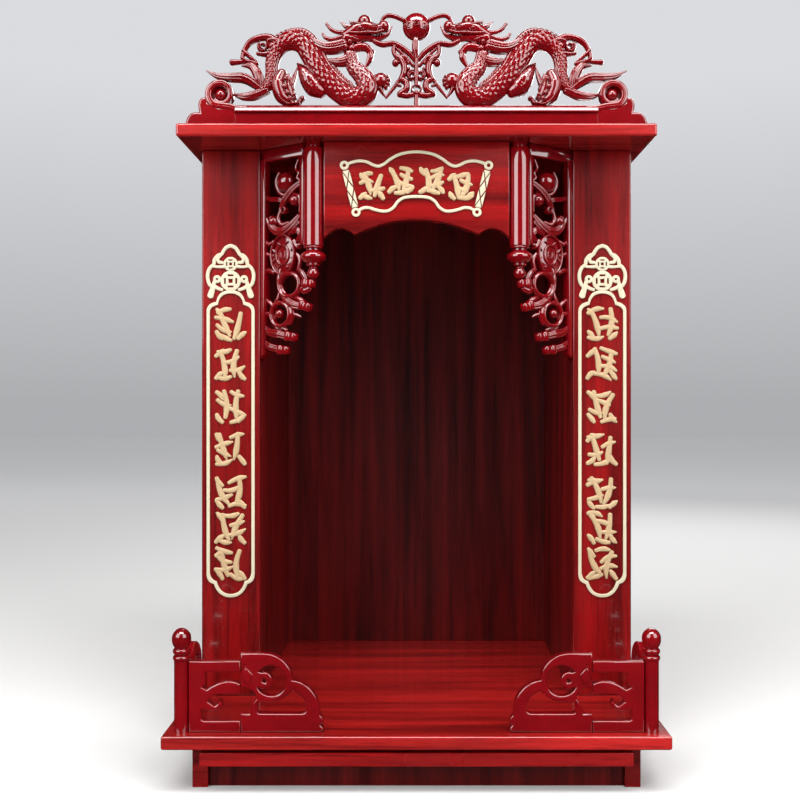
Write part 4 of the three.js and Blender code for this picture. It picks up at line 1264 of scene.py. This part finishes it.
bracket_place = moved(*BRACKET_START) @ Matrix.Rotation(BRACKET_TURN, 4, "Z")
bracket = carving("carved_bracket_left_fine", bracket_frame() + bracket_carving(), bracket_place)
trim_beside_stile(bracket, BRACKET_START.x)
other_bracket = mirrored_copy(bracket, "carved_bracket_right_fine")
carved(bracket, "carved_bracket_left")
carved(other_bracket, "carved_bracket_right")


# Gilt frames

GILT_THICKNESS = 1.6
COUPLET_LINE = 3.2
COUPLET_TOP = 282
PLAQUE_CORNERS = ((68, 44.4), (57, 0.2), (-68, 44.4), (-57, 0.2))


def gilt(piece, node):
    return dressed(piece, node, GILT)


def gilt_line(points, widths, flatness, pitch):
    return bar(points, widths, flatness, depth=GILT_THICKNESS, around=12, pitch=pitch, boxy=0.6)


def both_halves(start, steps, samples=10):
    right = outline(start, steps, samples)
    left = [Vector((-point.x, point.y)) for point in reversed(right[1:-1])]
    return right + left


def couplet_outline(inset):
    side, top = 23.5 - inset, COUPLET_TOP
    return both_halves(
        (0, inset),
        [
            (12 - inset / 2, inset, 16.5 - 0.88 * inset, 13.2 + 0.82 * inset),
            (side - 0.5, 14.5 + 0.8 * inset, side, 22 + inset),
            (side, top - 2 - 0.3 * inset),
            (side - 0.5, top + 5.2 - inset, 14 - 0.5 * inset, top + 6.7 - 0.95 * inset),
            (12.2 - 0.4 * inset, top + 18 - inset, 0, top + 18 - inset),
        ],
    )


def coin_outlines(z, radius):
    """A round coin with a square hole and a slot on each side of it."""
    middle = Vector((0, z))
    corner = radius * 0.2
    hole = [middle + Vector((x, y)) * corner for x, y in ((1, 1), (-1, 1), (-1, -1), (1, -1))]
    outlines = [circle(0, z, radius, 36), hole]
    for along, across in four_ways():
        centre = middle + along * radius * 0.55
        long, wide = across * radius * 0.28, along * radius * 0.09
        start, end = centre - long, centre + long
        outlines.append([start - wide, end - wide, end + wide, start + wide])
    return outlines


CROWN_LINES = (
    (
        [
            (0, 61.5), (4, 59.9), (7.2, 56), (8.8, 53.2), (12.4, 51.8), (15.8, 47.6), (16.6, 43),
            (19.8, 40.2), (22.2, 35), (22.2, 28.4), (20.2, 23.2), (16.4, 20.8),
        ],
        [1.8] * 12,
    ),
    ([(9.6, 52), (12.4, 49), (11.6, 45.6), (8, 45)], [1.4, 1.6, 1.7, 1.6]),
    ([(17, 41.4), (12, 40.8), (7, 41)], [1.4, 1.3, 1.6]),
    ([(15.8, 26.4), (16.6, 23), (18, 20)], [1.8, 2, 2.2]),
    ([(17, 20.6), (18.8, 15.6), (19.8, 12.4)], [2.4, 3, 3.1]),
    ([(15.6, 21.6), (12, 19.6), (8.4, 18.4)], [1.8, 1.7, 1.6]),
)


def crown_parts(place):
    """One raised line in three lobes a side round two coins, with ringed curls and tails."""
    plates = [coin_outlines(COUPLET_TOP + 43.6, 7.0), coin_outlines(COUPLET_TOP + 27, 10.0)]
    lines = []
    for sign in (1, -1):
        plates.append([circle(sign * 13.2, COUPLET_TOP + 28.8, radius) for radius in (3.9, 1.1)])
        for points, widths in CROWN_LINES:
            lines.append(gilt_line([(sign * x, COUPLET_TOP + z) for x, z in points], widths, 0.8, 0.9))
    cut = [cut_plate("crown_plate", outlines, GILT_THICKNESS, 0.4, place) for outlines in plates]
    return cut + [carving("crown_lines", lines, place)]


for side in ("left", "right"):
    node = "couplet_frame_" + side
    low, high = box_mm(node)
    place = moved((low.x + high.x) / 2, (low.y + high.y) / 2, low.z)
    outlines = [couplet_outline(0), couplet_outline(COUPLET_LINE)]
    line = cut_plate("frame_line", outlines, GILT_THICKNESS, 0.5, place)
    gilt(joined(node + "_raised", [line, *crown_parts(place)]), node)

PLAQUE_LOW, PLAQUE_HIGH = box_mm("plaque_frame")
PLAQUE_FOOT = PLAQUE_LOW.z + 1.7
PLAQUE_PLACE = moved(0, (PLAQUE_LOW.y + PLAQUE_HIGH.y) / 2, PLAQUE_FOOT)
PLAQUE_TOP_EDGE = [
    (0, 57.2), (6, 56.8), (16.4, 54.6), (25, 50), (30.8, 45.6), (35.9, 43.6), (40.9, 44.8), (46.7, 47.6),
    (54, 48.6), (61, 47.2), (65, 45.6),
]
PLAQUE_FOOT_EDGE = [
    (0, 15), (6, 14.8), (12.8, 13.5), (18, 9.8), (21.4, 5), (26.5, 1.7), (32.3, 1.3), (39.5, 2.8),
    (45, 4.5), (50.4, 4.1), (54.6, 1.8),
]
LOZENGE_SHARE = 0.8


def plaque_band(sign):
    """The band between two studs: lozenges and half lozenges with narrow gaps between them."""
    foot, head = Vector((57.9, 4.4)), Vector((66.9, 40))
    across = Vector((3.6, -0.9))
    cells = [
        [(0, -1), (0, 1), (0.25, 0)],
        [(0.25, 0), (0.5, 1), (0.75, 0), (0.5, -1)],
        [(1, 1), (1, -1), (0.75, 0)],
    ]
    for side in (-1, 1):
        cells += [[(start, side), (start + 0.5, side), (start + 0.25, 0)] for start in (0, 0.5)]
    outlines = []
    for cell in cells:
        corners = [foot.lerp(head, along) + across * offset for along, offset in cell]
        middle = sum(corners, Vector((0, 0))) / len(corners)
        outlines.append([middle.lerp(corner, LOZENGE_SHARE) for corner in corners])
    return [
        cut_plate("plaque_lozenge", [points], GILT_THICKNESS, 0.25, PLAQUE_PLACE, 1)
        for points in facing(outlines, sign)
    ]


studs = [
    cut_plate("plaque_stud", [circle(x, z, 4.3), circle(x, z, 1.7)], GILT_THICKNESS, 0.4, PLAQUE_PLACE)
    for x, z in PLAQUE_CORNERS
]
edges = [
    gilt_line([(sign * x, z) for x, z in edge], [1.45, 1.45], 0.7, 1.0)
    for sign in (1, -1)
    for edge in (PLAQUE_TOP_EDGE, PLAQUE_FOOT_EDGE)
]
plaque_parts = [carving("plaque_lines", edges, PLAQUE_PLACE), *studs, *plaque_band(1), *plaque_band(-1)]
gilt(joined("plaque_frame_raised", plaque_parts), "plaque_frame")


# Brush-like strokes that are no letters, in rows where the panels have their decoration

STROKE_DEPTH = 2.6
STROKE_SINK = 0.1
UPRIGHT_STROKE, CROSS_STROKE, SHORT_STROKE = 2.9, 2.5, 2.7
COUPLET_ROWS = (416, 377, 335, 294, 251, 217, 182)
COUPLET_CELL = (32, 34)
PLAQUE_ROWS = (-42, -14.5, 14.5, 42)
PLAQUE_CELL = (25, 27)


def brush_stroke(draw, x, z, lean, reach, thick, sway):
    """One pressed-in and drawn-out stroke."""
    run = Vector((math.cos(lean), math.sin(lean))) * reach
    side = Vector((-math.sin(lean), math.cos(lean))) * sway * reach
    middle = Vector((x, z))
    points = [middle - run, middle - run * 0.3 + side * 0.8, middle + run * 0.35 + side * 0.8, middle + run]
    widths = [thick * 0.75, thick * 0.9, thick * 1.1, thick * draw.uniform(0.25, 0.7)]
    return bar(points, widths, 0.8, depth=STROKE_DEPTH, around=12, pitch=1.5, boxy=0.7)


def stroke_group(draw, centre_x, centre_z, width, height):
    """A cluster of brush strokes in one cell: two drawn out, the rest short, none of them a letter."""
    strokes = []
    for side in (-1, 1):
        x = centre_x + side * draw.uniform(0.15, 0.24) * width
        z = centre_z + draw.uniform(-0.08, 0.08) * height
        lean = QUARTER_TURN + side * draw.uniform(0.05, 0.45)
        sway = draw.uniform(-0.22, 0.22)
        strokes.append(brush_stroke(draw, x, z, -lean, 0.38 * height, UPRIGHT_STROKE, sway))
    for row in range(4):
        x = centre_x + draw.choice((-0.2, 0.02, 0.2)) * width
        z = centre_z + (0.38 - 0.25 * row) * height
        lean = draw.choice((0.1, 0.3, -0.35)) + draw.uniform(-0.1, 0.1)
        reach = draw.uniform(0.2, 0.28) * width
        sway = draw.uniform(-0.3, 0.3)
        strokes.append(brush_stroke(draw, x, z, lean, reach, CROSS_STROKE, sway))
    for across, up in ((-1, -1), (1, -1), (-1, 1)):
        x = centre_x + across * 0.34 * width
        z = centre_z + up * 0.32 * height
        lean = draw.choice((0.7, 2.2, -0.9))
        sway = draw.uniform(-0.3, 0.3)
        strokes.append(brush_stroke(draw, x, z, lean, 0.15 * width, SHORT_STROKE, sway))
    return strokes


def stroke_rows(draw, name, groups, panel_face):
    strokes = [stroke for group in groups for stroke in stroke_group(draw, *group)]
    rows = carving(name, strokes, moved(0, panel_face - STROKE_SINK, 0))
    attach(rows, "root")
    rows.data.materials.append(STROKE)


draw = random.Random(11)
for side in ("left", "right"):
    low, high = box_mm("couplet_frame_" + side)
    groups = [((low.x + high.x) / 2, height, *COUPLET_CELL) for height in COUPLET_ROWS]
    stroke_rows(draw, "couplet_strokes_" + side, groups, high.y)
groups = [(x, PLAQUE_FOOT + 31 - 0.0035 * x * x, *PLAQUE_CELL) for x in PLAQUE_ROWS]
stroke_rows(draw, "plaque_strokes", groups, PLAQUE_HIGH.y)


# Floor, light and camera

FLOOR_SIZE = 16
FLOOR_PALE = (0.56, 0.555, 0.55, 1)
FLOOR_IN_LACQUER = (0.008, 0.007, 0.007, 1)
# Painted light: over these distances the floor's glow rises, standing in for lamp light on the far floor.
FAR_FLOOR_GLOW = {"From Min": 0.7, "From Max": 3.2, "To Max": 0.34}
SKY_TINT = (0.88, 0.89, 0.92, 1)
SKY_RISE = {"From Max": 0.3, "To Min": 0.475, "To Max": 0.8}
SKY_AS_LIGHT = {"To Min": 0.24, "To Max": 0.02}
CAMERA_PLACE = (0, -1.025, 0.342)
CAMERA_LENS = 44.6
CAMERA_SHIFT = -0.0206


def studio_floor():
    """A matt floor that glows more the farther off it is, for the camera only, as painted light in place of
    lamp light on the far floor, and is dark where the lacquer mirrors it.
    """
    bpy.ops.mesh.primitive_plane_add(size=FLOOR_SIZE, location=(0, 0, 0))
    floor = named("studio_floor")
    material, tree, shader, place = new_material("studio_pale")
    rays = added(tree, "LightPath").outputs
    tone = added(tree, "Mix", data_type="RGBA")
    feed(tone, {"Factor": rays["Is Glossy Ray"], "A": FLOOR_PALE, "B": FLOOR_IN_LACQUER})
    # Painted light: the farther off, the more the floor glows, for camera rays only.
    distance = added(tree, "VectorMath", {0: place}, operation="LENGTH").outputs["Value"]
    lift = added(tree, "MapRange", {"Value": distance, **FAR_FLOOR_GLOW}, interpolation_type="SMOOTHSTEP")
    painted_far_light = {0: lift.outputs["Result"], 1: rays["Is Camera Ray"]}
    painted_far_light = added(tree, "Math", painted_far_light, operation="MULTIPLY").outputs["Value"]
    feed(
        shader,
        {
            "Base Color": tone.outputs["Result"],
            "Roughness": 0.7,
            "Specular IOR Level": 0.0,
            "Emission Color": SKY_TINT,
            "Emission Strength": painted_far_light,
        },
    )
    floor.data.materials.append(material)


def studio_sky():
    """A backdrop that grows paler upwards, and a weaker, even light for all that the camera doesn't see."""
    world = bpy.data.worlds.new("studio")
    bpy.context.scene.world = world
    world.use_nodes = True
    tree = world.node_tree
    rays = added(tree, "LightPath").outputs
    view = added(tree, "TexCoord").outputs["Generated"]
    height = added(tree, "SeparateXYZ", {"Vector": view}).outputs["Z"]
    backdrop = added(tree, "MapRange", {"Value": height, **SKY_RISE}).outputs["Result"]
    light = added(tree, "MapRange", {"Value": rays["Is Glossy Ray"], **SKY_AS_LIGHT}).outputs["Result"]
    strength = {"Value": rays["Is Camera Ray"], "To Min": light, "To Max": backdrop}
    strength = added(tree, "MapRange", strength).outputs["Result"]
    feed(tree.nodes["Background"], {"Color": SKY_TINT, "Strength": strength})


def softbox(name, place, aim, size, power):
    bpy.ops.object.light_add(type="AREA", location=place)
    lamp = named(name)
    lamp.data.shape = "RECTANGLE"
    lamp.data.size, lamp.data.size_y = size
    lamp.data.energy = power
    lamp.rotation_euler = (Vector(aim) - Vector(place)).to_track_quat("-Z", "Y").to_euler()


studio_floor()
studio_sky()
softbox("left_box", (-1.4, -1.45, 1.25), (0, -0.1, 0.4), (1.6, 1.6), 52)
softbox("right_box", (1.4, -1.45, 1.25), (0, -0.1, 0.4), (1.6, 1.6), 46)
softbox("front_high", (0, -0.95, 2.05), (0, -0.1, 0.45), (1.8, 0.6), 55)
softbox("rear", (0.7, 1.7, 1.4), (0, 0, 0.35), (1.2, 1.0), 20)

bpy.ops.object.camera_add(location=CAMERA_PLACE, rotation=(QUARTER_TURN, 0, 0))
camera = bpy.context.view_layer.objects.active
camera.data.lens = CAMERA_LENS
camera.data.sensor_width = 36
camera.data.shift_x = CAMERA_SHIFT
camera.data.clip_start = 0.05
bpy.context.scene.camera = camera
bpy.context.scene.view_settings.view_transform = "Standard"
